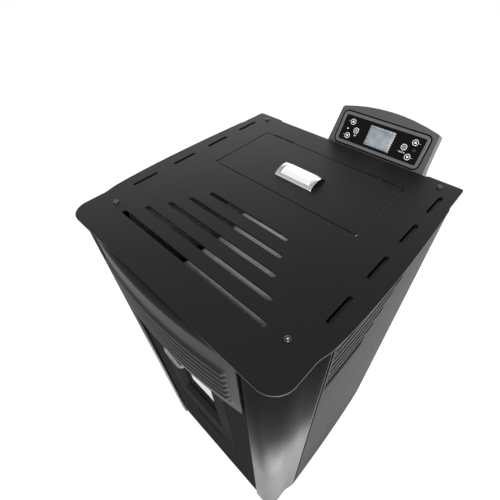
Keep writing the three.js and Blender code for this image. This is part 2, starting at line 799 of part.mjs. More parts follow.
// The warm-air deck hangs on the right frame and closes the air duct under the grille slots.
function airDeck() {
  const top = plateTop - deckDrop;
  const low = top - innerSheet;
  const right = frameOuterX - innerSheet - seat;
  const floor = box(deckLeftX, right, deckFrontY, deckRearY, low, top);
  const hanger = box(right - innerSheet, right, deckHangerFrontY, deckRearY, low, top + deckHangerHeight);
  const rim = box(deckLeftX, deckLeftX + innerSheet, deckFrontY, deckRearY, low, top + deckRimHeight);
  return fuse(floor, hanger, rim);
}

add('air_deck', airDeck(), zincSteel);

// ---------------------------------------------------------------- front

const grilleRadius = (frontHalfWidth ** 2 + grilleSagitta ** 2) / (2 * grilleSagitta);
const grilleArcY = grilleEndY - grilleSagitta + grilleRadius;

// Carries a section of [depth outside the bow, z] points along the bowed front.
function bowedBar(section, halfWidth, steps) {
  const spread = Math.asin(halfWidth / grilleRadius);
  const rings = [];
  for (let s = 0; s <= steps; s += 1) {
    const angle = -spread + (2 * spread * s) / steps;
    rings.push(section.map(([proud, z]) => new THREE.Vector3(
      (grilleRadius + proud) * Math.sin(angle),
      grilleArcY - (grilleRadius + proud) * Math.cos(angle),
      z,
    )));
  }
  return loft(rings, section);
}

// The bowed grille: a sheet with pressed louvre hoods, open at their lower lips.
function frontGrille() {
  const steps = 8;
  let grille = bowedBar([[-sheet, grilleBottom], [0, grilleBottom], [0, casingTop], [-sheet, casingTop]],
    frontHalfWidth, steps);
  const returns = sides.map(([, side]) => {
    const [x0, x1] = spanX(side, frontHalfWidth - sheet, frontHalfWidth);
    return box(x0, x1, grilleEndY - 1, frontY - seat, grilleBottom, casingTop);
  });
  grille = fuse(grille, ...returns);
  const wall = 1.4;
  for (let i = 0; i < hoodCount; i += 1) {
    const lip = plateTop - hoodLipTop - i * hoodPitch;
    const top = lip + hoodHeight;
    const hood = bowedBar([[-sheet / 2, lip], [hoodProud, lip], [hoodProud, lip + wall], [-sheet / 2, top]],
      hoodHalfWidth, steps);
    const throat = bowedBar([[-sheet - 3, lip - 0.5], [hoodProud - wall, lip - 0.5],
        [hoodProud - wall, lip + 0.6],
      [-sheet - 3, top - wall]], hoodHalfWidth - wall, steps);
    grille = cut(fuse(grille, hood), throat);
  }
  return grille;
}

// The lower front frames the door and the ash drawer and backs the grille.
function lowerFront() {
  const outline = roundedRectangle(-frontHalfWidth, frontHalfWidth, footHeight + sheet + seat, casingTop,
      1);
  outline.holes.push(polygon([
    [-doorHalfWidth - doorGap, doorBottom - doorGap], [doorHalfWidth + doorGap, doorBottom - doorGap],
    [doorHalfWidth + doorGap, doorTop + doorGap], [-doorHalfWidth - doorGap, doorTop + doorGap],
  ]));
  outline.holes.push(polygon([
    [-drawerHalfWidth - drawerGap, drawerBottom - drawerGap],
        [drawerHalfWidth + drawerGap, drawerBottom - drawerGap],
    [drawerHalfWidth + drawerGap, drawerTop + drawerGap],
        [-drawerHalfWidth - drawerGap, drawerTop + drawerGap],
  ]));
  const windowTop = casingTop - 20;
  outline.holes.push(polygon([
    [-hoodHalfWidth, doorTop + 26], [hoodHalfWidth, doorTop + 26],
    [hoodHalfWidth, windowTop], [-hoodHalfWidth, windowTop],
  ]));
  const skin = prismY(outline, frontY, frontY + sheet, 1);
  const returns = sides.map(([, side]) => {
    const [x0, x1] = spanX(side, frontHalfWidth - sheet, frontHalfWidth);
    return box(x0, x1, frontY, frontY + 16, panTop + 22, casingTop);
  });
  const ears = [doorTop + doorGap, doorBottom - doorGap - 3].map((z) => box(
    doorPivotX - 12, doorPivotX + 8, frontY + 0.5, doorPivotY + 8, z, z + 3,
  ));
  const bores = rod([doorPivotX, doorPivotY, doorBottom - 20], [doorPivotX, doorPivotY, doorTop + 20],
    doorPinRadius + seat, 12);
  return cut(fuse(skin, ...returns, ...ears), bores);
}

const doorPivotX = -doorHalfWidth + doorPivotInset;
const doorPivotY = frontY + doorPivotDepth;

add('front_grille', frontGrille(), blackPaint);
add('lower_front', lowerFront(), blackPaint);

// ---------------------------------------------------------------- fire door

// A flat opening in the door whose edge slopes from the front face down to the glass.
function doorFrame() {
  const rear = frontY + doorThickness;
  const glassFront = glassY - seat;
  const slab = prismY(roundedRectangle(-doorHalfWidth, doorHalfWidth, doorBottom, doorTop, 2), frontY,
      rear);
  const ring = (half, low, high, y) => [[-half, low], [half, low], [half, high], [-half, high]]
    .map(([x, z]) => new THREE.Vector3(x, y, z));
  const wide = mouldingWidth;
  const section = [[-glassHalfWidth, glassBottom], [glassHalfWidth, glassBottom],
    [glassHalfWidth, glassTop], [-glassHalfWidth, glassTop]];
  const step = 3;
  const slope = loft([
    ring(glassHalfWidth + wide, glassBottom - wide, glassTop + wide, frontY - 0.1),
    ring(glassHalfWidth + step, glassBottom - step, glassTop + step, frontY + mouldingDepth),
  ], section);
  const sight = box(-glassHalfWidth, glassHalfWidth, frontY - 1, rear + 1, glassBottom, glassTop);
  const over = glassOverlap + seat;
  const rebate = box(-glassHalfWidth - over, glassHalfWidth + over, glassFront, rear + 1,
    glassBottom - over, glassTop + over);
  const bores = [[doorBottom - 1, doorBottom + 22], [doorTop - 22, doorTop + 1]].map(([low, high]) => rod(
    [doorPivotX, doorPivotY, low], [doorPivotX, doorPivotY, high], doorPinRadius + seat, 12));
  return cut(slab, slope, sight, rebate, ...bores);
}

const glassY = frontY + mouldingDepth + 2.3;

function doorGlass() {
  return box(-glassHalfWidth - glassOverlap, glassHalfWidth + glassOverlap, glassY, glassY + glassThickness,
    glassBottom - glassOverlap, glassTop + glassOverlap);
}

function doorGasket() {
  const y0 = frontY + doorThickness + seat;
  const y1 = fireFrontY - seat;
  const inner = 1.5;
  const outer = inner + gasketWidth;
  return prismY((() => {
    const ring = roundedRectangle(-mouthHalfWidth - outer, mouthHalfWidth + outer,
      mouthBottom - outer, mouthTop + outer, 8);
    ring.holes.push(roundedRectangle(-mouthHalfWidth - inner, mouthHalfWidth + inner,
      mouthBottom - inner, mouthTop + inner, 2));
    return ring;
  })(), y0, y1, 2);
}

// A bent round rod: two legs rise from the door to a slanting grip.
function doorHandle() {
  const face = frontY - seat;
  const grip = frontY - handleStandoff;
  const bend = 7;
  const ends = [[-handleHalfLength, handleZ + handleSlant], [handleHalfLength, handleZ - handleSlant]];
  const along = new THREE.Vector3(2 * handleHalfLength, 0, -2 * handleSlant).normalize();
  const legs = ends.map(([x, z]) => [new THREE.Vector3(x, face, z + handleRise),
      new THREE.Vector3(x, grip, z)]);
  const path = new THREE.CurvePath();
  const corner = (from, at, to) => {
    const before = at.clone().add(from.clone().sub(at).setLength(bend));
    const after = at.clone().add(to.clone().sub(at).setLength(bend));
    return [before, new THREE.QuadraticBezierCurve3(before, at, after), after];
  };
  const [[leftRoot, leftBend], [rightRoot, rightBend]] = legs;
  const [leftIn, leftCurve, leftOut] = corner(leftRoot, leftBend, leftBend.clone().add(along));
  const [rightIn, rightCurve, rightOut] = corner(rightBend.clone().sub(along), rightBend, rightRoot);
  path.add(new THREE.LineCurve3(leftRoot, leftIn));
  path.add(leftCurve);
  path.add(new THREE.LineCurve3(leftOut, rightIn));
  path.add(rightCurve);
  path.add(new THREE.LineCurve3(rightOut, rightRoot));
  const geometry = new THREE.ExtrudeGeometry(circle(0, 0, handleRadius), {
    steps: 22, curveSegments: 4, extrudePath: path, bevelEnabled: false,
  });
  return cut(solid(geometry), box(-60, 60, face, face + 20, handleZ - 60, handleZ + 60));
}

function doorPin(low) {
  return rod([doorPivotX, doorPivotY, low], [doorPivotX, doorPivotY, low + doorPinLength], doorPinRadius,
      12);
}

add('door_frame', doorFrame(), stovePaint);
add('door_glass', doorGlass(), fireGlass);
add('door_gasket', doorGasket(), ropeSeal);
add('door_handle', doorHandle(), brightSteel);
add('door_pin_top', doorPin(doorTop + doorGap + 3 - doorPinLength), brightSteel);
add('door_pin_bottom', doorPin(doorBottom - doorGap - 3), brightSteel);

// ---------------------------------------------------------------- ash drawer

// A side-walled cradle carries the drawer on its web and the firebox on its walls.
function drawerCradle() {
  const outer = drawerHalfWidth + 4;
  const y0 = frontY + sheet + 20;
  const y1 = frontY + drawerDepth + 16;
  const low = panTop + seat;
  const profile = polygon([
    [-outer, low], [-outer + sheet, low], [-outer + sheet, drawerFloor - sheet - seat],
    [outer - sheet, drawerFloor - sheet - seat], [outer - sheet, low], [outer, low],
    [outer, fireBottom - seat], [outer - sheet, fireBottom - seat], [outer - sheet, drawerFloor - seat],
    [-outer + sheet, drawerFloor - seat], [-outer + sheet, fireBottom - seat], [-outer, fireBottom - seat],
  ]);
  return prismY(profile, y0, y1);
}

// The drawer: an open tray behind a flush front with a pull slot along its top edge.
function ashDrawer() {
  const half = drawerHalfWidth - 4;
  const rear = frontY + drawerDepth;
  const trayTop = drawerTop - 30;
  const wall = innerSheet;
  const front = box(-drawerHalfWidth, drawerHalfWidth, frontY, frontY + sheet, drawerBottom, drawerTop);
  const tray = cut(
    box(-half, half, frontY + 1, rear, drawerFloor, trayTop),
    box(-half + wall, half - wall, frontY + sheet, rear - wall, drawerFloor + wall, trayTop + 1),
  );
  const pull = prismY(slotPathShape(0, drawerTop - 22, 46, 8), frontY - 1, frontY + sheet + 1);
  return cut(fuse(front, tray), pull);
}

function slotPathShape(x, z, halfX, halfZ) {
  return new THREE.Shape(slotPath(x, z, halfX, halfZ).getPoints(4));
}

add('drawer_cradle', drawerCradle(), zincSteel);
add('ash_drawer', ashDrawer(), blackPaint);

// ---------------------------------------------------------------- firebox

const catchX = 93;

function firebox() {
  const doorCatch = box(catchX - 4, catchX + 4, frontY + doorThickness + seat, fireFrontY + 1, 500, 540);
  const inner = fireHalfWidth - fireWall;
  const shell = cut(
    box(-fireHalfWidth, fireHalfWidth, fireFrontY, fireRearY, fireBottom, fireTop),
    box(-inner, inner, fireFrontY + fireWall, fireRearY - fireWall, fireBottom + fireWall,
        fireTop - fireWall),
    box(-mouthHalfWidth, mouthHalfWidth, fireFrontY - 1, fireFrontY + fireWall + 1, mouthBottom, mouthTop),
    box(-ashSlotHalfWidth, ashSlotHalfWidth, fireFrontY + ashSlotSetback, potY - potHalfDepth - 2,
      fireBottom - 1, fireBottom + fireWall + 1),
  );
  const hole = potHalfWidth + seat;
  const shelf = cut(
    box(-inner - 1, inner + 1, potY - potHalfDepth - potRim - 4, fireRearY - 1, potShelf - fireWall,
        potShelf),
    box(-hole, hole, potY - potHalfDepth - seat, potY + potHalfDepth + seat, potShelf - 10, potShelf + 1),
  );
  const tubeHole = augerRod(augerTubeRadius + seat, -1);
  const airHole = rod([intakeX, fireRearY - 20, intakeZ], [intakeX, fireRearY + 20, intakeZ],
      intakeRadius - 2, 16);
  const igniterHole = rod([igniterX, fireRearY - 20, igniterZ], [igniterX, fireRearY + 20, igniterZ],
    igniterRadius + seat, 12);
  const port = exhaustPort;
  const exhaustHole = box(port.left, port.right, fireRearY - 20, fireRearY + 20, port.low, port.high);
  return cut(fuse(shell, shelf, doorCatch), tubeHole, airHole, igniterHole, exhaustHole);
}

const igniterZ = potShelf - igniterDrop;

// A rod on the auger's axis; reach shortens (or, if negative, lengthens) both ends.
function augerRod(radius, reach, sideCount = 20) {
  const low = new THREE.Vector3(0, augerLowY, augerLowZ);
  const high = new THREE.Vector3(0, augerHighY, augerHighZ);
  const along = high.clone().sub(low).normalize();
  return rod(low.addScaledVector(along, reach).toArray(), high.addScaledVector(along, -reach).toArray(),
    radius, sideCount);
}

// A cast burn pot: a tapered cup with a rim, a perforated floor and air holes in its walls.
function burnPot() {
  const top = potShelf + seat + potWall;
  const low = potShelf - potDepth;
  const shrink = 6;
  const outer = taper(
    [-potHalfWidth + shrink, potHalfWidth - shrink, potY - potHalfDepth + shrink,
        potY + potHalfDepth - shrink],
    [-potHalfWidth, potHalfWidth, potY - potHalfDepth, potY + potHalfDepth], low, top,
  );
  const inset = shrink + potWall;
  const inner = taper(
    [-potHalfWidth + inset, potHalfWidth - inset, potY - potHalfDepth + inset, potY + potHalfDepth - inset],
    [-potHalfWidth + potWall, potHalfWidth - potWall, potY - potHalfDepth + potWall,
        potY + potHalfDepth - potWall],
    low + potWall, top + 0.1,
  );
  const rim = box(-potHalfWidth - potRim, potHalfWidth + potRim, potY - potHalfDepth - potRim,
    potY + potHalfDepth + potRim, potShelf + seat, top);
  const holes = [];
  for (const x of [-24, -8, 8, 24]) {
    for (const y of [-12, 12]) {
      holes.push(rod([x, potY + y, low - 1], [x, potY + y, low + potWall + 1], 2.5, 6));
    }
    holes.push(rod([x, potY - 60, potShelf - 14], [x, potY + 60, potShelf - 14], 2.5, 6));
  }
  const solidPot = cut(fuse(outer, rim), inner, ...holes);
  return cut(solidPot, rod([igniterX, fireRearY, igniterZ], [igniterX, potY, igniterZ],
      igniterRadius + seat, 12));
}

function flameBaffle() {
  const half = fireHalfWidth - fireWall - seat;
  const rear = fireRearY - fireWall - seat;
  const front = rear - baffleDepth;
  const low = fireTop - baffleFall;
  const high = low + baffleRise;
  const profile = polygon([
    [front, low], [rear, high], [rear, high + baffleThickness], [front, low + baffleThickness],
  ]);
  return prismX(profile, -half, half);
}

function igniter() {
  const tip = potY + potHalfDepth + 3;
  const rear = fireRearY + 20;
  return fuse(
    rod([igniterX, tip, igniterZ], [igniterX, rear, igniterZ], igniterRadius, 12),
    rod([igniterX, fireRearY + seat, igniterZ], [igniterX, fireRearY + 6, igniterZ], 2 * igniterRadius, 6),
  );
}

add('firebox', firebox(), stovePaint);
add('burn_pot', burnPot(), castIron);
add('flame_baffle', flameBaffle(), castIron);
add('igniter', igniter(), brightSteel);

// ---------------------------------------------------------------- hopper and auger

function hopper() {
  const wall = innerSheet;
  const neckDepth = neckHalfWidth;
  const wide = (inset) => [-hopperHalfWidth + inset, hopperHalfWidth - inset, hopperFrontY + inset,
      hopperRearY - inset];
  const neck = (inset) => [-neckHalfWidth + inset, neckHalfWidth - inset, neckY - neckDepth + inset,
    neckY + neckDepth - inset];
  const column = (rectangle, z0, z1) => taper(rectangle, rectangle, z0, z1);
  const low = augerAxisZ(neckY);
  const outer = fuse(
    column(wide(0), hopperStraight, casingTop),
    taper(neck(0), wide(0), hopperNeck, hopperStraight + 0.01),
    column(neck(0), low, hopperNeck + 0.01),
  );
  const inner = fuse(
    column(wide(wall), hopperStraight, casingTop + 1),
    taper(neck(wall), wide(wall), hopperNeck, hopperStraight + 0.01),
    column(neck(wall), low - 1, hopperNeck + 0.01),
  );
  const flange = box(-hopperHalfWidth - 18, hopperHalfWidth + 18, hopperFrontY - 18, hopperRearY + 4,
    casingTop - wall, casingTop);
  return cut(fuse(outer, flange), inner, augerRod(augerTubeRadius + seat, -60));
}

// A safety grid of bars keeps hands out of the auger. Its frame hangs in the hopper's mouth.
function hopperGrid() {
  const gap = innerSheet + seat;
  const x = hopperHalfWidth - gap;
  const y0 = hopperFrontY + gap;
  const y1 = hopperRearY - gap;
  const z = plateTop - 52;
  const bars = 8;
  const barWidth = 4;
  const pitch = (2 * x - barWidth) / bars;
  const windows = [];
  for (let i = 0; i < bars; i += 1) {
    const left = -x + barWidth + i * pitch;
    windows.push(box(left, left + pitch - barWidth, y0 + barWidth, y1 - barWidth, z - 4, z + 1));
  }
  return cut(box(-x, x, y0, y1, z - 3, z), ...windows);
}

function augerTube() {
  const shell = cut(augerRod(augerTubeRadius, 0), augerRod(augerTubeRadius - augerTubeWall, -5));
  const inlet = box(-18, 18, neckY - 18, neckY + 18, augerAxisZ(neckY) + 4, augerAxisZ(neckY) + 60);
  return cut(shell, inlet);
}

function augerAxisZ(y) {
  return augerLowZ + (augerHighZ - augerLowZ) * (augerLowY - y) / (augerLowY - augerHighY);
}

// The auger: a shaft with one unbroken helical flight.
function augerScrew() {
  const length = Math.hypot(augerHighY - augerLowY, augerHighZ - augerLowZ);
  const radius = augerTubeRadius - augerTubeWall - augerFlightGap;
  const start = 14;
  const run = length - start - 16;
  const perTurn = 8;
  const steps = Math.round(run / augerPitch * perTurn);
  const half = augerFlightThickness / 2;
  const section = [[augerShaftRadius - 3, -half], [radius, -half / 2], [radius, half / 2],
      [augerShaftRadius - 3, half]];
  const rings = [];
  for (let s = 0; s <= steps; s += 1) {
    const angle = (2 * Math.PI * s) / perTurn;
    const rise = start + (run * s) / steps;
    rings.push(section.map(([r, w]) => new THREE.Vector3(r * Math.cos(angle), rise + w,
        r * Math.sin(angle))));
  }
  const flight = loft(rings, section);
  const shaft = rod([0, 4, 0], [0, length - 8, 0], augerShaftRadius, 8);
  const mesh = fuse(shaft, flight).getMesh();
  const geometry = new THREE.BufferGeometry();
  geometry.setAttribute('position', new THREE.BufferAttribute(mesh.vertProperties, 3));
  geometry.setIndex(new THREE.BufferAttribute(mesh.triVerts, 1));
  const along = new THREE.Vector3(0, augerHighY - augerLowY, augerHighZ - augerLowZ).normalize();
  geometry.applyQuaternion(new THREE.Quaternion().setFromUnitVectors(new THREE.Vector3(0, 1, 0), along));
  geometry.translate(0, augerLowY, augerLowZ);
  return solid(geometry);
}

// The gearmotor closes the tube's lower end.
function augerMotor() {
  const high = new THREE.Vector3(0, augerHighY, augerHighZ);
  const low = new THREE.Vector3(0, augerLowY, augerLowZ);
  const down = low.clone().sub(high).normalize();
  const at = (distance) => low.clone().addScaledVector(down, distance).toArray();
  return fuse(
    rod(at(seat), at(5), augerTubeRadius + 3, 20),
    rod(at(4), at(24), augerTubeRadius - 2, 8),
    rod(at(23), at(50), augerTubeRadius - 8, 16),
    rod(at(seat - 4), at(2), augerShaftRadius, 12),
  );
}

add('hopper', hopper(), zincSteel);
add('hopper_grid', hopperGrid(), brightSteel);
add('auger_tube', augerTube(), brightSteel);
add('auger_screw', augerScrew(), brightSteel);
add('auger_motor', augerMotor(), motorBlack);

// ---------------------------------------------------------------- fans and pipes

// The scroll's radius grows steadily round its axis until it meets the outlet.
function scrollPoints(base, growth, steps) {
  const points = [];
  for (let s = 0; s <= steps; s += 1) {
    const angle = -Math.PI / 2 - (1.75 * Math.PI * s) / steps + Math.PI;
    const radius = base + growth * (1 - s / steps);
    points.push([fanY + radius * Math.cos(angle), fanZ + radius * Math.sin(angle)]);
  }
  return points;
}

const outletTop = fanZ + impellerRadius + scrollGap + scrollGrowth;

function fanHousing() {
  const wall = innerSheet;
  const base = impellerRadius + scrollGap;
  const x0 = fanX - fanWidth / 2;
  const x1 = fanX + fanWidth / 2;
  const outletLow = outletTop - fanOutletHeight;
  const body = fuse(
    prismX(polygon(scrollPoints(base, scrollGrowth, 20)), x0, x1),
    box(x0, x1, fanY, fanOutletEndY, outletLow, outletTop),
  );
  const hollow = fuse(
    prismX(polygon(scrollPoints(base - wall, scrollGrowth, 20)), x0 + wall, x1 - wall),
    box(x0 + wall, x1 - wall, fanY, fanOutletEndY + 1, outletLow + wall, outletTop - wall),
  );
  const eye = rod([x0 - 5, fanY, fanZ], [x0 + 5, fanY, fanZ], fanEyeRadius, 20);
  const shaftHole = rod([x1 - 5, fanY, fanZ], [x1 + 5, fanY, fanZ], 5, 12);
  const stands = [-1, 1].map((side) => {
    const inner = fanY + side * (fanStandOffset - fanStandThickness);
    const outer = fanY + side * fanStandOffset;
    return box(x0, x1, Math.min(inner, outer), Math.max(inner, outer), panTop + seat, fanZ - base + 6);
  });
  return cut(fuse(body, ...stands), hollow, eye, shaftHole);
}

// A centrifugal wheel: a back plate, a hub on its shaft and swept blades.
function fanImpeller() {
  const x0 = fanX - fanWidth / 2 + 8;
  const x1 = fanX + fanWidth / 2 - 5;
  const plate = rod([x1 - 2, fanY, fanZ], [x1, fanY, fanZ], impellerRadius, 20);
  const shaft = rod([x1 - 16, fanY, fanZ], [x1 + 16, fanY, fanZ], 4.6, 12);
  const hub = rod([x1 - 14, fanY, fanZ], [x1 - 1, fanY, fanZ], 10, 16);
  const bladeCount = 8;
  const blades = [];
  for (let i = 0; i < bladeCount; i += 1) {
    const turn = (2 * Math.PI * i) / bladeCount;
    const edge = [];
    for (let s = 0; s <= 4; s += 1) {
      const radius = 18 + (impellerRadius - 18.5) * s / 4;
      edge.push([radius, turn + 0.45 * (s / 4) ** 2]);
    }
    const near = edge.map(([r, a]) => [fanY + r * Math.cos(a), fanZ + r * Math.sin(a)]);
    const far = edge.map(([r, a]) => [fanY + r * Math.cos(a + 1.6 / r),
        fanZ + r * Math.sin(a + 1.6 / r)]).reverse();
    blades.push(prismX(polygon([...near, ...far]), x0, x1 - 1));
  }
  return fuse(plate, shaft, hub, ...blades);
}

function fanMotor() {
  const x = fanX + fanWidth / 2;
  return cut(
    fuse(
      rod([x + seat, fanY, fanZ], [x + 4, fanY, fanZ], 34, 20),
      rod([x + 3, fanY, fanZ], [x + 46, fanY, fanZ], 26, 20),
    ),
    rod([x - 1, fanY, fanZ], [x + 30, fanY, fanZ], 5.2, 12),
  );
}

// A duct leads the smoke from the firebox's back down to the fan's eye.
function exhaustDuct() {
  const wall = innerSheet;
  const y0 = fireRearY + seat;
  const y1 = y0 + ductDepth;
  const x1 = fanX - fanWidth / 2 - seat;
  const x0 = x1 - ductWidth;
  const port = exhaustPort;
  const right = port.right + ductMargin;
  const [low, high] = [port.low - ductMargin, port.high + ductMargin];
  const reach = fanEyeRadius + ductEyeMargin;
  const body = fuse(
    box(x0, right, y0, y1, low, high),
    box(x0, x1, y0, y1, fanZ - reach, high),
    box(x0, x1, y0, fanY + reach, fanZ - reach, fanZ + reach),
  );
  const hollow = fuse(
    box(x0 + wall, right - wall, y0 + wall, y1 - wall, low + wall, high - wall),
    box(x0 + wall, x1 - wall, y0 + wall, y1 - wall, fanZ - reach + wall, high - wall),
    box(x0 + wall, x1 - wall, y0 + wall, fanY + reach - wall, fanZ - reach + wall, fanZ + reach - wall),
    box(port.left, port.right, y0 - 1, y0 + 10, port.low, port.high),
    rod([x1 - 5, fanY, fanZ], [x1 + 5, fanY, fanZ], fanEyeRadius, 20),
  );
  return cut(body, hollow);
}

// The flue spigot: a square flange on the fan's outlet and a round pipe through the rear panel.
function flueSpigot() {
  const outletEnd = fanOutletEndY + seat;
  const top = outletTop + 6;
  const half = fanWidth / 2 + flueFlangeMargin;
  const beadStart = flueEndY - flueBeadSetback;
  const flange = box(fanX - half, fanX + half, outletEnd, outletEnd + 3, top - 2 * half + 2, top);
  const pipe = rod([fanX, outletEnd + 1, flueZ], [fanX, flueEndY, flueZ], flueRadius, pipeSides);
  const bead = rod([fanX, beadStart, flueZ], [fanX, beadStart + flueBeadWidth, flueZ],
    flueRadius + flueBeadRise, pipeSides);
  const throat = rod([fanX, outletEnd + 3, flueZ], [fanX, flueEndY + 1, flueZ], flueRadius - flueWall,
      pipeSides);
  const square = box(fanX - fanWidth / 2 + 2, fanX + fanWidth / 2 - 2, outletEnd - 1, outletEnd + 6,
    outletTop - fanOutletHeight + 2, outletTop - 6);
  return cut(fuse(flange, pipe, bead), throat, square);
}

function airIntake() {
  const y0 = fireRearY + seat;
  return cut(
    fuse(
      rod([intakeX, y0, intakeZ], [intakeX, intakeEndY, intakeZ], intakeRadius, pipeSides),
      rod([intakeX, y0, intakeZ], [intakeX, y0 + 2, intakeZ], intakeRadius + 8, pipeSides),
    ),
    rod([intakeX, y0 - 1, intakeZ], [intakeX, intakeEndY + 1, intakeZ], intakeRadius - 2, pipeSides),
  );
}

add('fan_housing', fanHousing(), zincSteel);
add('fan_impeller', fanImpeller(), brightSteel);
add('fan_motor', fanMotor(), motorBlack);
add('exhaust_duct', exhaustDuct(), zincSteel);
add('flue_spigot', flueSpigot(), stovePaint);
add('air_intake', airIntake(), zincSteel);

// The room-air blower: a long bladed wheel in a scroll with an upward mouth.
function blowerHousing() {
  const x0 = blowerX - blowerHalfLength - 6;
  const x1 = blowerX + blowerHalfLength + 6;
  const inner = wheelRadius + 6;
  const outer = inner + innerSheet;
  const band = new THREE.Shape();
  const from = rotationOf(-10);
  const to = rotationOf(-230);
  band.absarc(blowerY, blowerZ, outer, from, to, true);
  band.absarc(blowerY, blowerZ, inner, to, from, false);
  const skirt = prismX(band, x0, x1, 6);
  const ends = [x0, x1 - innerSheet].map((x) => {
    const plate = fuse(
      rod([x, blowerY, blowerZ], [x + innerSheet, blowerY, blowerZ], outer, 14),
      box(x, x + innerSheet, blowerY - 26, blowerY + 26, panTop + seat, blowerZ),
    );
    return cut(plate, rod([x - 1, blowerY, blowerZ], [x + 3, blowerY, blowerZ], 4 + seat, 12));
  });
  return fuse(skirt, ...ends);
}

function blowerWheel() {
  const x0 = blowerX - blowerHalfLength;
  const x1 = blowerX + blowerHalfLength;
  const rings = [x0, x1 - 2].map((x) => rod([x, blowerY, blowerZ], [x + 2, blowerY, blowerZ], wheelRadius,
      16));
  const stubs = [
    rod([x0 - 8, blowerY, blowerZ], [x0 + 1, blowerY, blowerZ], 4, 12),
    rod([x1 - 1, blowerY, blowerZ], [x1 + 8, blowerY, blowerZ], 4, 12),
  ];
  const blades = [];
  for (let i = 0; i < wheelBlades; i += 1) {
    const turn = (2 * Math.PI * i) / wheelBlades;
    const line = [[wheelRadius - 11, 0], [wheelRadius - 6, 0.05], [wheelRadius - 0.5, 0.2]];
    const near = line.map(([r, a]) => [blowerY + r * Math.cos(turn + a), blowerZ + r * Math.sin(turn + a)]);
    const far = line.map(([r, a]) => [r, a + 1.2 / r])
      .map(([r, a]) => [blowerY + r * Math.cos(turn + a), blowerZ + r * Math.sin(turn + a)]).reverse();
    blades.push(prismX(polygon([...near, ...far]), x0 + 1, x1 - 1));
  }
  return fuse(rings[0], rings[1], ...stubs, ...blades);
}

add('blower_housing', blowerHousing(), zincSteel);
add('blower_wheel', blowerWheel(), brightSteel);

// ---------------------------------------------------------------- mains inlet and switch

function mainsInlet() {
  const { x, z, halfWidth, halfHeight } = inletPlace;
  const outer = rearPanelY + seat;
  const flange = box(x - halfWidth - 5, x + halfWidth + 5, outer, outer + 3, z - halfHeight - 5,
      z + halfHeight + 5);
  const body = box(x - halfWidth, x + halfWidth, outer - 24, outer + 1, z - halfHeight, z + halfHeight);
  const socket = box(x - 11, x + 11, outer - 16, outer + 4, z - halfHeight + 4, z - halfHeight + 22);
  const rockerWell = box(x - 9, x + 9, outer - 12, outer + 4, rockerZ - 13, rockerZ + 13);
  return cut(fuse(flange, body), socket, rockerWell);
}

const rockerZ = inletPlace.z + 13;
const rockerAxisY = rearPanelY + seat - 3;

function rockerSwitch() {
  const { x } = inletPlace;
  const profile = polygon([
    [rockerAxisY + 4, rockerZ - 10], [rockerAxisY + 5, rockerZ], [rockerAxisY + 8, rockerZ + 10],
    [rockerAxisY - 1, rockerZ + 8], [rockerAxisY - 4, rockerZ], [rockerAxisY - 1, rockerZ - 8],
  ]);
  return prismX(profile, x - 9 + seat, x + 9 - seat);
}

add('mains_inlet', mainsInlet(), blackRubber);
add('rocker_switch', rockerSwitch(), blackGloss);

// ---------------------------------------------------------------- control panel

// Pieces of the panel are drawn flat in (x, up the face) and then leaned back into place.
const panelFrame = new THREE.Matrix4()
  .makeTranslation(panelX, panelY, plateTop)
  .multiply(new THREE.Matrix4().makeRotationX(Math.PI / 2 - rotationOf(panelTilt)));

// An outline on the face, from one depth behind it to another (negative depths stand proud).
function onFace(shape, nearDepth, farDepth, curveSegments = 4) {
  const geometry = new THREE.ExtrudeGeometry(shape,
      { depth: farDepth - nearDepth, bevelEnabled: false, curveSegments });
  geometry.translate(0, 0, -farDepth);
  geometry.applyMatrix4(panelFrame);
  return solid(geometry);
}

// A tapered housing with an arched top. Below the plate it hangs on the rear panel.
function panelHousing() {
  const low = -24;
  const taperOut = panelBottomHalfWidth + (panelBottomHalfWidth - panelTopHalfWidth) * -low / panelCorner;
  const face = new THREE.Shape();
  face.moveTo(-taperOut, low - 80);
  face.lineTo(taperOut, low - 80);
  face.lineTo(taperOut, low);
  face.lineTo(panelTopHalfWidth, panelCorner - 3);
  face.quadraticCurveTo(panelTopHalfWidth - 0.5, panelCorner, panelTopHalfWidth - 5, panelCorner + 1);
  face.quadraticCurveTo(0, 2 * panelPeak - panelCorner - 1, -panelTopHalfWidth + 5, panelCorner + 1);
  face.quadraticCurveTo(-panelTopHalfWidth + 0.5, panelCorner, -panelTopHalfWidth, panelCorner - 3);
  face.lineTo(-taperOut, low);
  const front = onFace(face, -20, panelDepth + 60, 8);
  const tilt = rotationOf(panelTilt);
  const up = (a, depth) => [panelY + a * Math.sin(tilt) + depth * Math.cos(tilt),
    plateTop + a * Math.cos(tilt) - depth * Math.sin(tilt)];
  const back = rearPanelY + seat;
  const profile = polygon([
    [back, plateTop - 78], [back, plateTop - plateThickness - 2],
        [plateRearY + 0.6, plateTop - plateThickness - 2],
    up(-1, 0), up(panelPeak + 3, 0), up(panelPeak + 3, panelDepth), up(10, panelDepth + 2),
        [back + 26, plateTop - 78],
  ]);
  const body = prismX(profile, panelX - taperOut - 5, panelX + taperOut + 5);
  const well = roundedRectangle(-bezelHalfWidth - seat, bezelHalfWidth + seat, bezelLow - seat,
      bezelHigh + seat, 7);
  const inner = roundedRectangle(-bezelHalfWidth + 6, bezelHalfWidth - 6, bezelLow + 6, bezelHigh - 6, 3);
  return cut(front.intersect(body), onFace(well, -1, bezelDepth + seat), onFace(inner, 0, 17));
}

function bezelRing() {
  const ring = roundedRectangle(-bezelHalfWidth, bezelHalfWidth, bezelLow, bezelHigh, 6.5);
  const inset = bezelRim;
  ring.holes.push(roundedRectangle(-bezelHalfWidth + inset, bezelHalfWidth - inset, bezelLow + inset,
    bezelHigh - inset, 3));
  return onFace(ring, -1.2, bezelDepth);
}

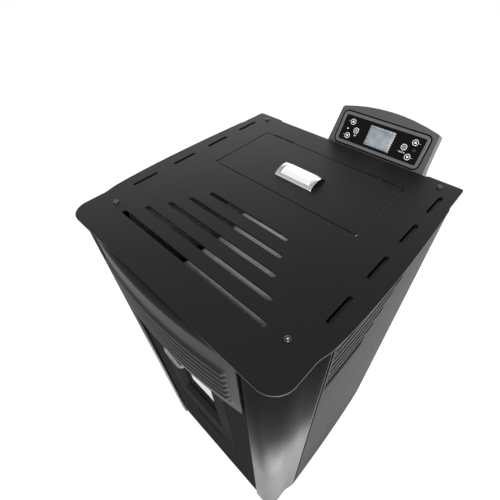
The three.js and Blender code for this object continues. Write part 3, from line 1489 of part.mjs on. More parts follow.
function fascia() {
  const inset = bezelRim + seat;
  const outline = roundedRectangle(-bezelHalfWidth + inset, bezelHalfWidth - inset, bezelLow + inset,
    bezelHigh - inset, 2.7);
  const lcd = lcdHalfWidth + seat;
  outline.holes.push(polygon([[-lcd, lcdLow - seat], [lcd, lcdLow - seat], [lcd, lcdHigh + seat],
      [-lcd, lcdHigh + seat]]));
  const far = fasciaFront + fasciaThickness;
  const keyHoles = keyPlaces.map(([x, a]) => onFace(circle(x, a, keyRadius + seat), fasciaFront - 1,
      far + 1, 5));
  return cut(onFace(outline, fasciaFront, far, 2), ...keyHoles);
}

const fasciaFront = bezelDepth - seat - fasciaThickness - 1.5;

function display() {
  return onFace(polygon([[-lcdHalfWidth, lcdLow], [lcdHalfWidth, lcdLow], [lcdHalfWidth, lcdHigh],
    [-lcdHalfWidth, lcdHigh]]), fasciaFront + 0.2, boardDepth - seat);
}

const boardDepth = 11;

// A key's cap stands a little out of the fascia, and its stem stops short of the board.
function key(x, a) {
  return fuse(
    onFace(circle(x, a, keyRadius), fasciaFront - keyProud, fasciaFront + 1.2, 5),
    onFace(circle(x, a, 3), fasciaFront + 1, boardDepth - keyTravel - seat, 3),
  );
}

function controlBoard() {
  const board = roundedRectangle(-bezelHalfWidth + 7, bezelHalfWidth - 7, bezelLow + 7, bezelHigh - 7, 2);
  return onFace(board, boardDepth, 17 - seat);
}

add('panel_housing', panelHousing(), greyPlastic);
add('panel_bezel', bezelRing(), rimPlastic);
add('panel_fascia', fascia(), blackGloss);
add('panel_display', display(), displayGrey);
add('control_board', controlBoard(), boardGreen);
const keyNames = ['up_left', 'mode', 'down_left', 'up_right', 'power', 'down_right'];
keyPlaces.forEach(([x, a], i) => add(`key_${keyNames[i]}`, key(x, a), blackGloss));

// ---------------------------------------------------------------- placing

// The frame's origin is on the floor under the middle of the whole stove.
const frontmost = grilleEndY - grilleSagitta - hoodProud;
const rearmost = flueEndY;
stove.position.set(0, -(frontmost + rearmost) / 2, 0);

export default stove;
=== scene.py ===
"""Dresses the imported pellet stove: rounded sheet metal, its paints, plating, plastics and glass,
the control panel's icons, and the light and camera of the picture.

Shapes are worked out in millimetres in the stove's own axes (x to its right, y to its back,
z up, y = 0 a little ahead of the middle) and then placed in the frame in metres.
"""

import json
import math

import bmesh
import bpy
import numpy as np
from mathutils import Matrix, Vector

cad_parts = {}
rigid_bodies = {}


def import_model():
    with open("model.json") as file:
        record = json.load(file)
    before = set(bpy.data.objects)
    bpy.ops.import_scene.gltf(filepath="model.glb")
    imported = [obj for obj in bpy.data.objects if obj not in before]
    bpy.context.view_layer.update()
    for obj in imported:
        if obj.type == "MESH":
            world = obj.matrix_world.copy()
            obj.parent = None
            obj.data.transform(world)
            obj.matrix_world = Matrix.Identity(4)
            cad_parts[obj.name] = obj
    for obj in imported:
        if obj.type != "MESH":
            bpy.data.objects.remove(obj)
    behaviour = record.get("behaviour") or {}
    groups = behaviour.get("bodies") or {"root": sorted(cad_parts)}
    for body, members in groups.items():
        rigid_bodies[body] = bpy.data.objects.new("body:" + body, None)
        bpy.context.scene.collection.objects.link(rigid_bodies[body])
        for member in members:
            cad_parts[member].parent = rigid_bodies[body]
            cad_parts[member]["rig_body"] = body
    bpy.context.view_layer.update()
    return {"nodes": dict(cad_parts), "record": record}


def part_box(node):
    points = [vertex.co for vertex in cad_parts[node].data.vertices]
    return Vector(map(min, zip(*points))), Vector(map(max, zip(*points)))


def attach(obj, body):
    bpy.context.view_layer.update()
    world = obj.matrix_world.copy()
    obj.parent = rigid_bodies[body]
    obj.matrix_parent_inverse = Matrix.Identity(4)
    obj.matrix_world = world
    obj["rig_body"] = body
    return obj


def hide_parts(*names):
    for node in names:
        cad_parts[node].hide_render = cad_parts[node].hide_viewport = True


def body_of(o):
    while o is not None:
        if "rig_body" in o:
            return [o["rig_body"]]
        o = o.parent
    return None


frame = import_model()
nodes = frame["nodes"]

MM = 0.001
SEAT = 0.3  # clearance between faces that touch
SHEET = 2.0  # outer steel sheet
PLATE_TOP, PLATE_THICKNESS, PLATE_REAR = 868.0, 3.0, 194.5
CASING_TOP = PLATE_TOP - PLATE_THICKNESS - SEAT
CASING_LOW = 30.0
HOME = np.array([0.0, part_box("top_plate")[1].y - PLATE_REAR * MM, 0.0])


# ---- shader tools


def arithmetic(operation, swapped=False):
    """An operator of wires: it adds a Math node, the wire its first value, or its second if swapped."""

    def operator(wire, other):
        first, second = (other, wire) if swapped else (wire, other)
        return wire.tree.node("ShaderNodeMath", {"operation": operation}, {0: first, 1: second})

    return operator


class Wire:
    """One output of a shader node. Arithmetic on wires adds Math nodes to their tree."""

    def __init__(self, tree, socket):
        self.tree = tree
        self.socket = socket

    __add__, __radd__ = arithmetic("ADD"), arithmetic("ADD", swapped=True)
    __sub__, __rsub__ = arithmetic("SUBTRACT"), arithmetic("SUBTRACT", swapped=True)
    __mul__, __mod__ = arithmetic("MULTIPLY"), arithmetic("MODULO")
    __gt__, __lt__ = arithmetic("GREATER_THAN"), arithmetic("LESS_THAN")


class Tree:
    """The shader nodes of a material or of the surroundings."""

    def __init__(self, owner):
        owner.use_nodes = True
        self.nodes, self.links = owner.node_tree.nodes, owner.node_tree.links

    def node(self, kind, settings=None, inputs=None, output=0):
        """Adds a node: its settings first, then the values or wires of its sockets."""
        made = self.nodes.new(kind)
        for name, value in (settings or {}).items():
            if name == "stops":
                for stop, (place, level) in zip(made.color_ramp.elements, value):
                    stop.position = place
                    stop.color = (level, level, level, 1)
            else:
                setattr(made, name, value)
        for name, value in (inputs or {}).items():
            self.feed(made.inputs[name], value)
        return Wire(self, made.outputs[output])

    def feed(self, socket, value):
        if isinstance(value, Wire):
            self.links.new(value.socket, socket)
        else:
            socket.default_value = value


class Finish(Tree):
    """A material with one Principled shader. It is dielectric unless Metallic is given."""

    def __init__(self, name, **fixed):
        self.material = bpy.data.materials.new(name)
        super().__init__(self.material)
        self.surface = self.nodes["Principled BSDF"]
        self.shade(**fixed)

    def shade(self, **inputs):
        """Sets the shader's sockets to values or wires; Base_Color stands for Base Color."""
        for name, value in inputs.items():
            self.feed(self.surface.inputs[name.replace("_", " ")], value)
        return self.material

    def coat(self, tone, low, high, rough, bump, depth, strength=1.0):
        """Varies the colour between low and high by tone, the roughness, and the relief by bump."""
        return self.shade(Base_Color=self.between(tone, low, high), Roughness=rough,
                          Normal=self.relief(bump, depth, strength))

    def spot(self, stretch=(1, 1, 1), turn=(0, 0, 0)):
        """The place on the piece, in its own coordinates, stretched and turned."""
        place = self.node("ShaderNodeTexCoord", output="Object")
        return self.node("ShaderNodeMapping", {}, {"Vector": place, "Scale": stretch, "Rotation": turn})

    def noise(self, scale, detail, place=None, rough=0.5):
        return self.node("ShaderNodeTexNoise", {}, {
            "Vector": place or self.spot(), "Scale": scale, "Detail": detail, "Roughness": rough})

    def cells(self, scale):
        """A random level for each cell of a Voronoi pattern."""
        return self.node("ShaderNodeTexVoronoi", {}, {"Vector": self.spot(), "Scale": scale}, output="Color")

    def steps(self, value, low, high):
        """0 below low, 1 above high, and a ramp between them."""
        return self.node("ShaderNodeValToRGB", {"stops": [(low, 0), (high, 1)]}, {"Fac": value})

    def between(self, amount, low, high):
        """A colour between two greys or colours."""
        return self.node("ShaderNodeMix", {"data_type": "RGBA"}, {
            0: amount, 6: colour(low), 7: colour(high)}, output=2)

    def relief(self, height, depth, strength=1.0):
        """A bump of the given depth in metres."""
        return self.node("ShaderNodeBump", {}, {
            "Height": height, "Distance": depth, "Strength": strength}, output="Normal")


def colour(value):
    if isinstance(value, (Wire, tuple)):
        return value
    return (value, value, value, 1)


# ---- finishes


def powder_coat(name, level, gloss, shine=0.11, lacquer=0.0):
    """Black powder coat: fine orange peel, a finer grain in its gloss and a slow drift in tone."""
    made = Finish(name, Specular_IOR_Level=shine, Coat_Weight=lacquer, Coat_Roughness=gloss)
    peel = made.noise(900, 3)
    grain = made.noise(4200, 1)
    drift = made.noise(5, 2)
    return made.coat(drift * 0.6 + grain * 0.4, level * 0.8, level * 1.2,
                     rough=gloss + grain * 0.08 + drift * 0.06, bump=peel + grain * 0.3, depth=0.00005,
                     strength=0.6)


def heat_paint():
    """Matt heat-proof paint with a dry, sandy grain."""
    made = Finish("stove_paint", Specular_IOR_Level=0.0, Coat_Weight=0.07, Coat_Roughness=0.4)
    sand = made.noise(1700, 4)
    drift = made.noise(9, 2)
    return made.coat(drift, 0.008, 0.015, rough=0.48 + sand * 0.2, bump=sand, depth=0.0001, strength=0.7)


def galvanised(name, low, high):
    """Zinc-coated sheet: spangle cells of slightly different grey and gloss."""
    made = Finish(name, Metallic=0.55)
    spangle = made.cells(130)
    feather = made.noise(420, 4)
    stain = made.noise(7, 3)
    return made.coat(spangle * 0.6 + feather * 0.4, low, high,
                     rough=0.30 + spangle * 0.14 + stain * 0.1, bump=feather, depth=0.00004, strength=0.5)


def bright_steel(name, metal, low, high):
    """Satin steel with fine scratches along its length."""
    made = Finish(name, Metallic=metal, Specular_IOR_Level=0.2)
    scratch = made.noise(60, 3, made.spot((1, 40, 40)))
    smudge = made.noise(35, 2)
    return made.coat(smudge, low, high,
                     rough=0.2 + scratch * 0.12 + smudge * 0.06, bump=scratch, depth=0.00003, strength=0.4)


def polished_steel():
    """Bare steel with the tool marks of a hexagon key."""
    made = Finish("bare_steel", Metallic=1.0)
    mark = made.noise(800, 3, made.spot((1, 5, 1)))
    return made.coat(mark, 0.8, 0.95, rough=0.12 + mark * 0.15, bump=mark, depth=0.0001, strength=0.5)


def satin_field():
    """The pull's bright field: fine lines drawn across its width under a clear sheen, and soft bands of painted
    reflection across it.
    """
    made = Finish("satin_field", Metallic=0.7)
    drawn = made.noise(40, 4, made.spot((1, 22, 22)), rough=0.7)
    reflection_band = made.noise(9, 1, made.spot((0.3, 3, 3)))
    return made.coat(drawn * 0.5 + reflection_band * 0.5, 0.80, 0.98,
                     rough=0.3 + drawn * 0.15, bump=drawn, depth=0.00004, strength=0.4)


def chrome():
    """Polished plating with faint smears."""
    made = Finish("chrome", Metallic=1.0)
    smear = made.noise(60, 3, made.spot((1, 3, 1)))
    return made.coat(smear, 0.5, 0.66, rough=0.07 + smear * 0.07, bump=smear, depth=0.00003, strength=0.2)


def cast_iron():
    """Sand-cast iron, pitted, with a little rust-brown in patches."""
    made = Finish("cast_iron", Metallic=0.4)
    sand = made.noise(700, 5)
    burn = made.noise(22, 3)
    return made.coat(burn, (0.022, 0.021, 0.02, 1), (0.05, 0.04, 0.034, 1),
                     rough=0.55 + sand * 0.25, bump=sand, depth=0.0003, strength=0.8)


def mirror_glass():
    """Ceramic glass with a reflecting coat, and a trace of soot in patches."""
    made = Finish("fire_glass", Metallic=1.0)
    soot = made.noise(14, 4)
    return made.shade(Base_Color=made.between(soot, 0.36, 0.46), Roughness=0.03 + soot * 0.04)


def braided_rope():
    """Two crossed waves stand for the strands of a braided seal."""
    made = Finish("rope_seal")
    one = made.node("ShaderNodeTexWave", {}, {"Vector": made.spot(turn=(0, 0.6, 0.8)), "Scale": 160.0})
    two = made.node("ShaderNodeTexWave", {}, {"Vector": made.spot(turn=(0, -0.6, -0.8)), "Scale": 160.0})
    strands = one * two
    return made.coat(strands, 0.015, 0.05, rough=0.95 - strands * 0.1, bump=strands, depth=0.0006)


def moulded(name, low, high, roughness, grain_scale, depth):
    """Moulded plastic or rubber with an even grain."""
    made = Finish(name, IOR=1.46)
    grain = made.noise(grain_scale, 3)
    drift = made.noise(18, 2)
    return made.coat(drift * 0.5 + grain * 0.5, low, high,
                     rough=roughness + grain * 0.12, bump=grain, depth=depth, strength=0.6)


def combed_plastic():
    """Grey moulded plastic, its grain drawn out sideways in short fine streaks."""
    made = Finish("grey_plastic", IOR=1.46, Specular_IOR_Level=0.35)
    streak = made.noise(95, 5, made.spot((1, 14, 14)), rough=0.7)
    grain = made.noise(2100, 2)
    drift = made.noise(12, 2)
    tone = (streak - 0.5) * 1.4 + drift * 0.4 + grain * 0.3 + 0.15
    return made.coat(tone, 0.035, 0.085,
                     rough=0.42 + grain * 0.14, bump=streak * 0.5 + grain, depth=0.00008, strength=0.6)


def black_gloss():
    """Printed black acrylic with fingerprints too faint to see head-on."""
    made = Finish("black_gloss", Specular_IOR_Level=0.07)
    touch = made.noise(90, 4)
    return made.shade(Base_Color=made.between(touch, 0.002, 0.004), Roughness=0.07 + touch * 0.06)


def lcd():
    """A grey-blue display, mottled, lighter to its lower right, inside a fine border of light dashes."""
    made = Finish("display", Specular_IOR_Level=0.3)
    uv = made.node("ShaderNodeTexCoord", output="UV")
    across = made.node("ShaderNodeSeparateXYZ", {}, {0: uv}, output="X")
    up = made.node("ShaderNodeSeparateXYZ", {}, {0: uv}, output="Y")
    mottle = made.noise(520, 5, rough=0.75)
    patch = made.noise(75, 3)
    tone = across * 0.3 - up * 0.3 + (mottle - 0.5) * 1.5 + (patch - 0.5) * 1.3 + 0.42
    face = made.between(tone, (0.12, 0.145, 0.165, 1), (0.38, 0.42, 0.45, 1))
    near_x = (across < 0.04) + (across > 0.96)
    near_y = (up < 0.05) + (up > 0.95)
    dashes = near_x * (((up * 11) % 1) < 0.5) + near_y * (((across * 15) % 1) < 0.5)
    border = made.between(dashes, (0.05, 0.055, 0.06, 1), (0.62, 0.65, 0.66, 1))
    whole = made.between((near_x + near_y) > 0.5, face, border)
    return made.shade(Base_Color=whole, Roughness=0.3 + mottle * 0.2)


def glowing(name, tint, strength):
    """A small lamp whose glow turns paler in fine specks."""
    made = Finish(name, Roughness=0.3, Emission_Strength=strength)
    core = made.noise(900, 1)
    return made.shade(Base_Color=colour(tint), Emission_Color=made.between(core, tint, (1, 0.75, 0.7, 1)))


def circuit_board():
    """Green solder mask over faint tracks."""
    made = Finish("board_green")
    tracks = made.cells(500)
    green = made.between(tracks, (0.012, 0.06, 0.022, 1), (0.03, 0.11, 0.045, 1))
    return made.shade(Base_Color=green, Roughness=0.4 + tracks * 0.15)


finishes = {
    "black_paint": powder_coat("black_paint", 0.008, 0.38),
    "stove_paint": heat_paint(),
    "zinc_steel": galvanised("zinc_steel", 0.42, 0.62),
    "bright_steel": bright_steel("bright_steel", 1.0, 0.3, 0.42),
    "chrome": chrome(),
    "cast_iron": cast_iron(),
    "fire_glass": mirror_glass(),
    "rope_seal": braided_rope(),
    "grey_plastic": combed_plastic(),
    "rim_plastic": moulded("rim_plastic", 0.07, 0.10, 0.26, 2200, 0.00004),
    "black_gloss": black_gloss(),
    "display": lcd(),
    "rubber": moulded("rubber", 0.009, 0.014, 0.6, 1400, 0.0001),
    "motor_black": moulded("motor_black", 0.012, 0.02, 0.35, 1100, 0.00008),
    "board_green": circuit_board(),
}
# Finishes of single pieces, where these differ from their slot's own.
icon_white = moulded("icon_white", 0.75, 0.85, 0.4, 2500, 0.00001)
red_lamp = glowing("red_lamp", (1.0, 0.25, 0.2, 1), 2.5)
rear_zinc = galvanised("rear_zinc", 0.14, 0.24)
# Painted shade: the next three are copies of the one black powder coat. The front has no shine, the sides have
# less shine and the corner columns a darker tone, standing for the light each face gets.
front_shaded_paint = powder_coat("front_shaded_paint", 0.007, 0.3, 0.0, 0.05)
side_shaded_paint = powder_coat("side_shaded_paint", 0.008, 0.38, 0.02)
column_shaded_paint = powder_coat("column_shaded_paint", 0.004, 0.22, 0.12)
handle_steel = bright_steel("handle_steel", 0.7, 0.12, 0.2)
bare_steel = polished_steel()
pull_satin = satin_field()
screw_black = powder_coat("screw_black", 0.012, 0.22, 0.5)
# Painted shade: a flat black without shine, laid over narrow gaps and grooves to stand for the shadow in them.
gap_shade_black = powder_coat("gap_shade_black", 0.002, 0.7, 0.0)
dark_lens = moulded("dark_lens", 0.008, 0.012, 0.1, 900, 0.00001)

slot_of = {row["node"]: row["material_slot"] for row in frame["record"]["subparts"]}
for node, cad_object in nodes.items():
    cad_object.material_slots[0].material = finishes[slot_of[node]]


# ---- surface tools


def arc(centre, radius, start, end, count):
    """Points of a circle's arc; angles in degrees from +u towards +v."""
    angle = np.radians(np.linspace(start, end, count))
    return np.column_stack([centre[0] + radius * np.cos(angle), centre[1] + radius * np.sin(angle)])


def bezier(corners, count):
    """A cubic curve: (1-t)^3 A + 3(1-t)^2 t B + 3(1-t) t^2 C + t^3 D."""
    t = np.linspace(0, 1, count)[:, None]
    a, b, c, d = np.array(corners, float)
    return (1 - t) ** 3 * a + 3 * (1 - t) ** 2 * t * b + 3 * (1 - t) * t ** 2 * c + t ** 3 * d


def round_slot(centre, half_u, half_v, count=12):
    """A closed outline of a slot with half-round ends."""
    radius = min(half_u, half_v)
    reach = max(half_u, half_v) - radius
    u, v = centre
    if half_u > half_v:
        ends = [arc((u + reach, v), radius, -90, 90, count), arc((u - reach, v), radius, 90, 270, count)]
    else:
        ends = [arc((u, v + reach), radius, 0, 180, count), arc((u, v - reach), radius, 180, 360, count)]
    return np.vstack(ends)


def round_box(low, high, radius, count=8):
    """A closed rectangle between two corners, with rounded corners."""
    (left, bottom), (right, top) = np.add(low, radius), np.subtract(high, radius)
    middles = [(right, bottom), (right, top), (left, top), (left, bottom)]
    return np.vstack([arc(middle, radius, start, start + 90, count)
                      for middle, start in zip(middles, (-90, 0, 90, 180))])


def grid_of(x, y, z):
    """Points from their coordinates, each given as a grid, a row, a column or one number."""
    return np.stack(np.broadcast_arrays(x, y, z), axis=-1)


def grid_faces(rows, columns, wrap=False):
    """Four-cornered faces of a grid listed row by row; wrap joins the last column to the first."""
    last = columns if wrap else columns - 1
    row, column = np.meshgrid(np.arange(rows - 1), np.arange(last), indexing="ij")
    after = (column + 1) % columns
    near, far = row * columns, (row + 1) * columns
    return np.stack([near + column, near + after, far + after, far + column], axis=-1).reshape(-1, 4)


def adjusted(item, **values):
    """Sets an item's properties and gives it back."""
    for name, value in values.items():
        setattr(item, name, value)
    return item


def stand(name, data):
    """Puts a mesh, a curve, a light or a camera in the scene."""
    holder = bpy.data.objects.new(name, data)
    bpy.context.scene.collection.objects.link(holder)
    return holder


def new_mesh(name, points, faces):
    """A mesh of a list or grid of points in mm in the stove's own axes, placed in the frame."""
    mesh = bpy.data.meshes.new(name)
    corners = (np.reshape(points, (-1, 3)) * MM + HOME).tolist()
    mesh.from_pydata(corners, [], [list(map(int, face)) for face in faces])
    mesh.validate()
    return mesh


def placed(points, place):
    """Points of a drawing carried to the stove's axes by a 4x4 matrix in mm."""
    return points @ place[:3, :3].T + place[:3, 3]


def finish_piece(name, mesh, slot, stands_for=(), material=None, body="casing", crease=32, thick=0.0,
                 edge=0.0, tidy=True, turn=True):
    """Makes the mesh a piece: joined, shaded, given its finish, its wall, its edges and its body."""
    shaped = bmesh.new()
    shaped.from_mesh(mesh)
    if tidy:
        bmesh.ops.remove_doubles(shaped, verts=shaped.verts, dist=2e-6)
    if turn:
        bmesh.ops.recalc_face_normals(shaped, faces=shaped.faces)
    shaped.to_mesh(mesh)
    shaped.free()
    mesh.polygons.foreach_set("use_smooth", np.ones(len(mesh.polygons), bool))
    mesh.set_sharp_from_angle(angle=math.radians(crease))
    piece = stand(name, mesh)
    mesh.materials.clear()
    mesh.materials.append(material or finishes[slot])
    if thick:
        adjusted(piece.modifiers.new("wall", "SOLIDIFY"), thickness=thick * MM, offset=-1, use_even_offset=True)
    if edge:
        adjusted(piece.modifiers.new("edges", "BEVEL"), width=edge * MM, segments=2, limit_method="ANGLE",
                 angle_limit=math.radians(40), harden_normals=True)
    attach(piece, body)
    if stands_for:
        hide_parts(*([stands_for] if isinstance(stands_for, str) else stands_for))


def shape_piece(name, points, faces, *rest, **more):
    """A piece made of points in mm and faces; the rest is as for finish_piece."""
    finish_piece(name, new_mesh(name, points, faces), *rest, **more)


def mesh_of(curve):
    """The points and faces of a curve or of text, taken from an object that is removed again."""
    holder = stand("outline", curve)
    bpy.context.view_layer.update()
    ready = holder.evaluated_get(bpy.context.evaluated_depsgraph_get())
    made = bpy.data.meshes.new_from_object(ready)
    bpy.data.objects.remove(holder)
    points = np.zeros(len(made.vertices) * 3)
    made.vertices.foreach_get("co", points)
    faces = [tuple(polygon.vertices) for polygon in made.polygons]
    bpy.data.meshes.remove(made)
    return points.reshape(-1, 3), faces


def filled(outlines, thickness, edge):
    """A flat sheet with its outer outline first and its holes after it, rolled at its edges.

    The outlines are a filled curve's splines; it is extruded by half the thickness each way
    and bevelled, and the result lies between w = 0 and w = thickness. Returns points and faces."""
    curve = adjusted(bpy.data.curves.new("outline", "CURVE"), dimensions="2D", fill_mode="BOTH",
                     extrude=thickness / 2 - edge, bevel_depth=edge, bevel_resolution=1, offset=-edge)
    for outline in outlines:
        spline = curve.splines.new("POLY")
        spline.points.add(len(outline) - 1)
        flat = np.column_stack([outline, np.zeros(len(outline)), np.ones(len(outline))])
        spline.points.foreach_set("co", flat.ravel())
        spline.use_cyclic_u = True
    points, faces = mesh_of(curve)
    return points + (0, 0, thickness / 2), faces


def sheet_piece(name, outlines, thickness, edge, place, stands_for=(), slot="black_paint", **more):
    """A flat sheet put in place by a 4x4 matrix in mm. Its flat faces keep their own normals, so
    that only the rolled edges are shaded smooth."""
    points, faces = filled(outlines, thickness, edge)
    mesh = new_mesh(name, placed(points, place), faces)
    finish_piece(name, mesh, slot, stands_for, **more)
    normals = np.zeros(len(mesh.polygons) * 3)
    mesh.polygons.foreach_get("normal", normals)
    mesh.polygons.foreach_set("use_smooth", np.abs(normals.reshape(-1, 3) @ place[:3, 2]) <= 0.999)


def rounded_copy(node, edge, crease=32, material=None):
    """A copy of a CAD node: its triangles joined, its flat faces merged, its edges rounded."""
    mesh = nodes[node].data.copy()
    shaped = bmesh.new()
    shaped.from_mesh(mesh)
    bmesh.ops.remove_doubles(shaped, verts=shaped.verts, dist=1e-5)
    bmesh.ops.dissolve_limit(shaped, angle_limit=math.radians(0.5), verts=shaped.verts, edges=shaped.edges)
    shaped.to_mesh(mesh)
    shaped.free()
    mesh.materials.clear()
    finish_piece(node + "_rounded", mesh, slot_of[node], node, material, body_of(nodes[node])[0], crease,
                 edge=edge, tidy=False, turn=False)


def placing(x_axis, y_axis, z_axis, origin):
    """The 4x4 matrix that puts a drawing's axes and origin in the stove."""
    place = np.eye(4)
    place[:3, 0], place[:3, 1], place[:3, 2], place[:3, 3] = x_axis, y_axis, z_axis, origin
    return place


def raised(where):
    """Lifts a drawing in plan to a height, or puts it at a point."""
    origin = where if np.ndim(where) else (0, 0, where)
    return placing((1, 0, 0), (0, 1, 0), (0, 0, 1), origin)


def upended(where):
    """Stands a drawing on edge: its x runs to the stove's back, its y up and its z to the right."""
    return placing((0, 1, 0), (0, 0, 1), (1, 0, 0), where)


def smooth(t):
    """0 below 0, 1 above 1, and 3t^2 - 2t^3 between them."""
    t = np.clip(t, 0, 1)
    return t * t * (3 - 2 * t)


def turned_piece(name, profile, edge, place, slot, stands_for=(), sides=32, socket=0.0, **more):
    """A profile of (radius, height) turned about its z axis. Points after the socket's rim, which
    lie within its radius, follow a hexagon: their radius is divided by cos(angle from a flat)."""
    radius, height = np.array(profile, float).T
    turn = np.linspace(0, 2 * np.pi, sides, endpoint=False)
    flat = 1 / np.cos((turn + np.pi / 6) % (np.pi / 3) - np.pi / 6)
    inner = (np.arange(len(radius)) > np.argmax(height)) & (radius < socket)
    reach = radius[:, None] * np.where(inner[:, None], flat[None, :], 1.0)
    grid = grid_of(reach * np.cos(turn), reach * np.sin(turn), height[:, None])
    faces = grid_faces(len(radius), sides, wrap=True)
    shape_piece(name, placed(grid, place), faces, slot, stands_for, crease=38, edge=edge, **more)


# ---- top plate


LOBE_HALF, PLATE_FRONT, PLATE_CORNER = 219.0, -260.0, 30.0
BOW_FRONT, BOW_REAR, BOW_FULL = (224.0, -172.0), (221.5, 129.0), 230.05
REAR_HALF, REAR_CORNER = 218.3, 5.0
NOTCH_HALF, NOTCH_DEPTH = 157.0, 3.5
LID_HALF, LID_FRONT, LID_REAR, LID_GAP = 146.4, -6.9, 134.0, 1.7
SLOT_FIRST, SLOT_PITCH, SLOT_HALF_WIDTH = -200.7, 30.5, 4.0
SLOT_HALF_LENGTHS = (152, 133, 113, 97.5, 82.4)
SIDE_SLOT_X, SIDE_SLOT_HALF_WIDTH, SIDE_SLOT_HALF = 200.0, 3.25, 25.0
SIDE_SLOT_YS = (128.2, 44, -40, -126.8)
SCREWS, SCREW_HOLE = {"front": (180.0, -197.0), "rear": (186.8, 176.5)}, 2.6
HINGE_X, HINGE_HALF, HINGE_BARREL, HINGE_PIN, HINGE_LEAF, LEAF_REACH = 105.0, 22.0, 1.6, 0.7, 1.2, 22.0
HINGE_Y, HINGE_Z = LID_REAR + LID_GAP + 0.3, PLATE_TOP - HINGE_BARREL
SIDES = {"left": -1, "right": 1}


def with_mirror(parts):
    """An outline of its right half, given in parts from front to rear, and the mirror image."""
    half = np.vstack(parts)
    return np.vstack([half, half[:0:-1] * (-1, 1)])


def plate_edge():
    """The lobed front corners, the bowed sides and the notches at the rear."""
    return with_mirror([
        [(0, PLATE_FRONT)],
        arc((LOBE_HALF - PLATE_CORNER, PLATE_FRONT + PLATE_CORNER), PLATE_CORNER, -90, 0, 24),
        bezier([(LOBE_HALF, -200), (LOBE_HALF, -188), np.subtract(BOW_FRONT, (1.5, 12)), BOW_FRONT], 12),
        bezier([BOW_FRONT, (BOW_FULL, BOW_FRONT[1] + 60), (BOW_FULL, BOW_REAR[1] - 138), BOW_REAR], 40)[1:],
        [(REAR_HALF + 1.3, BOW_REAR[1] + 8)],
        arc((REAR_HALF - REAR_CORNER, PLATE_REAR - REAR_CORNER), REAR_CORNER, 0, 90, 8),
        [(NOTCH_HALF + NOTCH_DEPTH, PLATE_REAR), (NOTCH_HALF, PLATE_REAR - NOTCH_DEPTH)],
    ])


def lid_opening():
    """The lid's opening, with round reliefs in its front corners and room for the hinge barrels."""
    x, low, high = LID_HALF + LID_GAP, LID_FRONT - LID_GAP, LID_REAR + LID_GAP
    room = HINGE_Y + HINGE_BARREL + 1
    near, far = HINGE_X - HINGE_HALF - 1, HINGE_X + HINGE_HALF + 1
    return with_mirror([
        [(0, low), (x - 1.5, low)],
        arc((x - 0.6, low + 0.6), 2.0, -120, 30, 12),
        [(x, low + 3), (x, high), (far, high), (far, room), (near, room), (near, high)],
    ])


def top_plate():
    """The plate with its slots, its screw holes and the lid's opening."""
    holes = [round_slot((0, SLOT_FIRST + i * SLOT_PITCH), half, SLOT_HALF_WIDTH)
             for i, half in enumerate(SLOT_HALF_LENGTHS)]
    for side in SIDES.values():
        holes += [round_slot((side * SIDE_SLOT_X, y), SIDE_SLOT_HALF_WIDTH, SIDE_SLOT_HALF)
                  for y in SIDE_SLOT_YS]
        holes += [arc((side * x, y), SCREW_HOLE, 0, 345, 24) for x, y in SCREWS.values()]
    low = PLATE_TOP - PLATE_THICKNESS
    sheet_piece("top_plate_sheet", [plate_edge(), *holes, lid_opening()], PLATE_THICKNESS, 0.2, raised(low),
                "top_plate")


def rod(radius, low, high):
    """The profile of a plain round bar."""
    return [(0, low), (radius, low), (radius, high), (0, high)]


def hinge_barrel(word, side):
    """The plate's half of a lid hinge: a barrel in the lid's gap, its pin, and a leaf under the plate."""
    reach = HINGE_HALF / 2 - 0.5
    middle = side * (HINGE_X + HINGE_HALF / 2 + 0.2)
    along = upended((middle, HINGE_Y, HINGE_Z))
    low, high = sorted((side * (HINGE_X - HINGE_HALF) - middle, side * (HINGE_X + HINGE_HALF / 2) - middle))
    barrel, pin = rod(HINGE_BARREL, -reach, reach), rod(HINGE_PIN, low, high)
    turned_piece(f"hinge_barrel_{word}", barrel, 0.25, along, "black_paint")
    turned_piece(f"hinge_pin_{word}", pin, 0.15, along, "bright_steel")
    under, half, rear = PLATE_TOP - PLATE_THICKNESS, HINGE_LEAF * 0.75, HINGE_Y + LEAF_REACH
    leaf = [(HINGE_Y - half, HINGE_Z), (HINGE_Y - half, under - HINGE_LEAF), (rear, under - HINGE_LEAF),
            (rear, under), (HINGE_Y + half, under), (HINGE_Y + half, HINGE_Z)]
    sheet_piece(f"hinge_leaf_{word}", [leaf], 2 * reach, 0.15, upended((middle - reach, 0, 0)))


def plate_screw(word, row, x, y):
    """A button head with a six-sided socket, on its shank, and the bare steel at the socket's floor."""
    name, place = f"plate_screw_{word}_{row}", raised((x, y, PLATE_TOP + SEAT))
    profile = [(0, -11.7), (2.0, -11.7), (2.0, 0), (4.8, 0), (4.8, 0.5), (4.5, 1.2), (3.9, 1.8), (3.1, 2.3),
               (2.2, 2.6), (1.75, 2.6), (1.7, 2.4), (1.7, 1.2), (0, 0.9)]
    turned_piece(name + "_head", profile, 0.12, place, "bright_steel", name, sides=36, socket=1.8,
                 material=screw_black)
    spark = [(0, 0.9), (1.62, 1.15), (1.62, 1.3), (0.9, 1.55), (0, 1.25)]
    turned_piece(name + "_socket", spark, 0, place, "bright_steel", sides=18, material=bare_steel)


top_plate()
for word, side in SIDES.items():
    hinge_barrel(word, side)
    for row, (x, y) in SCREWS.items():
        plate_screw(word, row, side * x, y)

# ---- hopper lid


PULL_HALF, PULL_FRONT, PULL_REAR, PULL_RISE, PULL_THICKNESS = 38.0, 31.0, 74.5, 10.0, 2.2
PULL_SINK, PULL_BORDER, PULL_FLANK, PULL_FIELD = 0.6, 33.0, 3.0, 29.5


